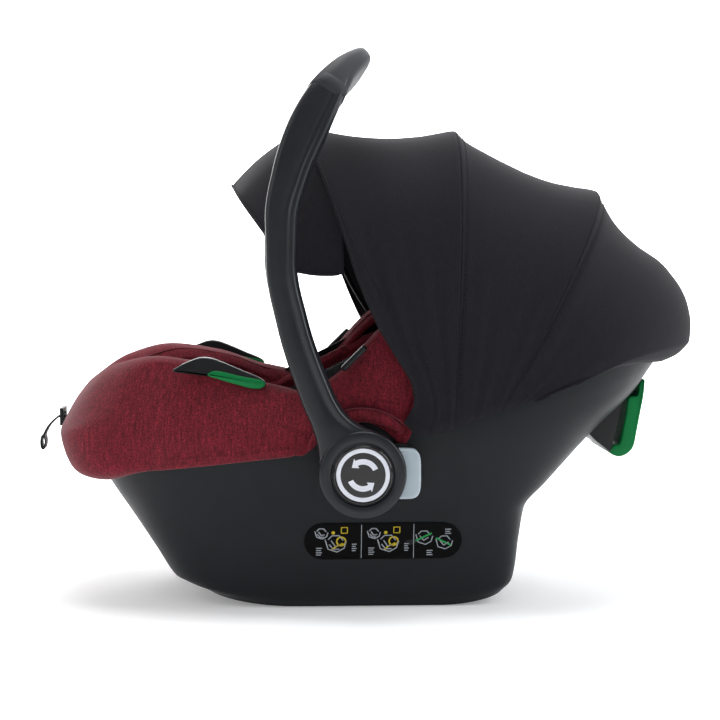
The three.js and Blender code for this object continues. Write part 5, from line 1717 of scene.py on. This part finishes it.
class SEAT_OT_cover(bpy.types.Operator):
    """Builds the padded cover over the rim, with its piping and stitches."""

    bl_idname = "seat.cover"
    bl_label = "Cover"

    def execute(self, context):
        build_cover()
        return {"FINISHED"}


class SEAT_OT_arches(bpy.types.Operator):
    """Builds the padded arches over the hubs."""

    bl_idname = "seat.arches"
    bl_label = "Arches"

    def execute(self, context):
        build_arches()
        return {"FINISHED"}


class SEAT_OT_insert(bpy.types.Operator):
    """Builds the seat pad, the headrest and the shoulder pads."""

    bl_idname = "seat.insert"
    bl_label = "Insert"

    def execute(self, context):
        build_insert()
        return {"FINISHED"}


class SEAT_OT_harness(bpy.types.Operator):
    """Builds the straps and the buckle."""

    bl_idname = "seat.harness"
    bl_label = "Harness"

    def execute(self, context):
        build_harness()
        return {"FINISHED"}


class SEAT_OT_adjuster(bpy.types.Operator):
    """Builds the harness adjuster and the pull strap."""

    bl_idname = "seat.adjuster"
    bl_label = "Adjuster"

    def execute(self, context):
        build_adjuster()
        return {"FINISHED"}


class SEAT_OT_handle(bpy.types.Operator):
    """Builds the carry handle with its hubs and grip."""

    bl_idname = "seat.handle"
    bl_label = "Handle"

    def execute(self, context):
        build_handle()
        return {"FINISHED"}


class SEAT_OT_hub_caps(bpy.types.Operator):
    """Builds the caps on the handle's hubs."""

    bl_idname = "seat.hub_caps"
    bl_label = "Hub caps"

    def execute(self, context):
        build_hub_caps()
        return {"FINISHED"}


class SEAT_OT_buttons(bpy.types.Operator):
    """Builds the release buttons."""

    bl_idname = "seat.buttons"
    bl_label = "Buttons"

    def execute(self, context):
        build_buttons()
        return {"FINISHED"}


class SEAT_OT_guides(bpy.types.Operator):
    """Builds the belt guides, the clips and the rear hook."""

    bl_idname = "seat.guides"
    bl_label = "Belt guides"

    def execute(self, context):
        build_guides()
        return {"FINISHED"}


class SEAT_OT_label(bpy.types.Operator):
    """Builds the label film with its picture marks."""

    bl_idname = "seat.label"
    bl_label = "Label"

    def execute(self, context):
        build_label()
        return {"FINISHED"}


class SEAT_OT_bows(bpy.types.Operator):
    """Builds the canopy's rods."""

    bl_idname = "seat.bows"
    bl_label = "Bows"

    def execute(self, context):
        build_bows()
        return {"FINISHED"}


class SEAT_OT_canopy(bpy.types.Operator):
    """Builds the canopy's cloth."""

    bl_idname = "seat.canopy"
    bl_label = "Canopy"

    def execute(self, context):
        build_canopy()
        return {"FINISHED"}


class SEAT_OT_visor(bpy.types.Operator):
    """Builds the canopy's visor."""

    bl_idname = "seat.visor"
    bl_label = "Visor"

    def execute(self, context):
        build_visor()
        return {"FINISHED"}


class SEAT_OT_nodes(bpy.types.Operator):
    """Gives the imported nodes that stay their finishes."""

    bl_idname = "seat.nodes"
    bl_label = "Packed nodes"

    def execute(self, context):
        finish_nodes()
        return {"FINISHED"}


OPERATORS = [
    SEAT_OT_stage,
    SEAT_OT_shell,
    SEAT_OT_cover,
    SEAT_OT_arches,
    SEAT_OT_insert,
    SEAT_OT_harness,
    SEAT_OT_adjuster,
    SEAT_OT_handle,
    SEAT_OT_hub_caps,
    SEAT_OT_buttons,
    SEAT_OT_guides,
    SEAT_OT_label,
    SEAT_OT_bows,
    SEAT_OT_canopy,
    SEAT_OT_visor,
    SEAT_OT_nodes,
]


class SEAT_PT_panel(bpy.types.Panel):
    """Lists the sizes, the colours and the pieces of the seat."""

    bl_label = "Infant Car Seat"
    bl_space_type = "VIEW_3D"
    bl_region_type = "UI"
    bl_category = "Car Seat"

    def draw(self, context):
        for group in (context.scene.seat_sizes, context.scene.seat_colours):
            for name in group.__annotations__:
                self.layout.prop(group, name)
        for item in OPERATORS:
            self.layout.operator(item.bl_idname)


CLASSES = [SeatSizes, SeatColours, *OPERATORS, SEAT_PT_panel]


def register():
    """Registers the classes and the colours."""
    for item in CLASSES:
        bpy.utils.register_class(item)
    bpy.types.Scene.seat_sizes = PointerProperty(type=SeatSizes)
    bpy.types.Scene.seat_colours = PointerProperty(type=SeatColours)


def unregister():
    """Takes the classes and the colours away."""
    del bpy.types.Scene.seat_colours
    del bpy.types.Scene.seat_sizes
    for item in reversed(CLASSES):
        bpy.utils.unregister_class(item)


def main():
    """Builds every piece in order."""
    register()
    for item in OPERATORS:
        group, name = item.bl_idname.split(".")
        getattr(getattr(bpy.ops, group), name)()


if __name__ == "__main__":
    main()
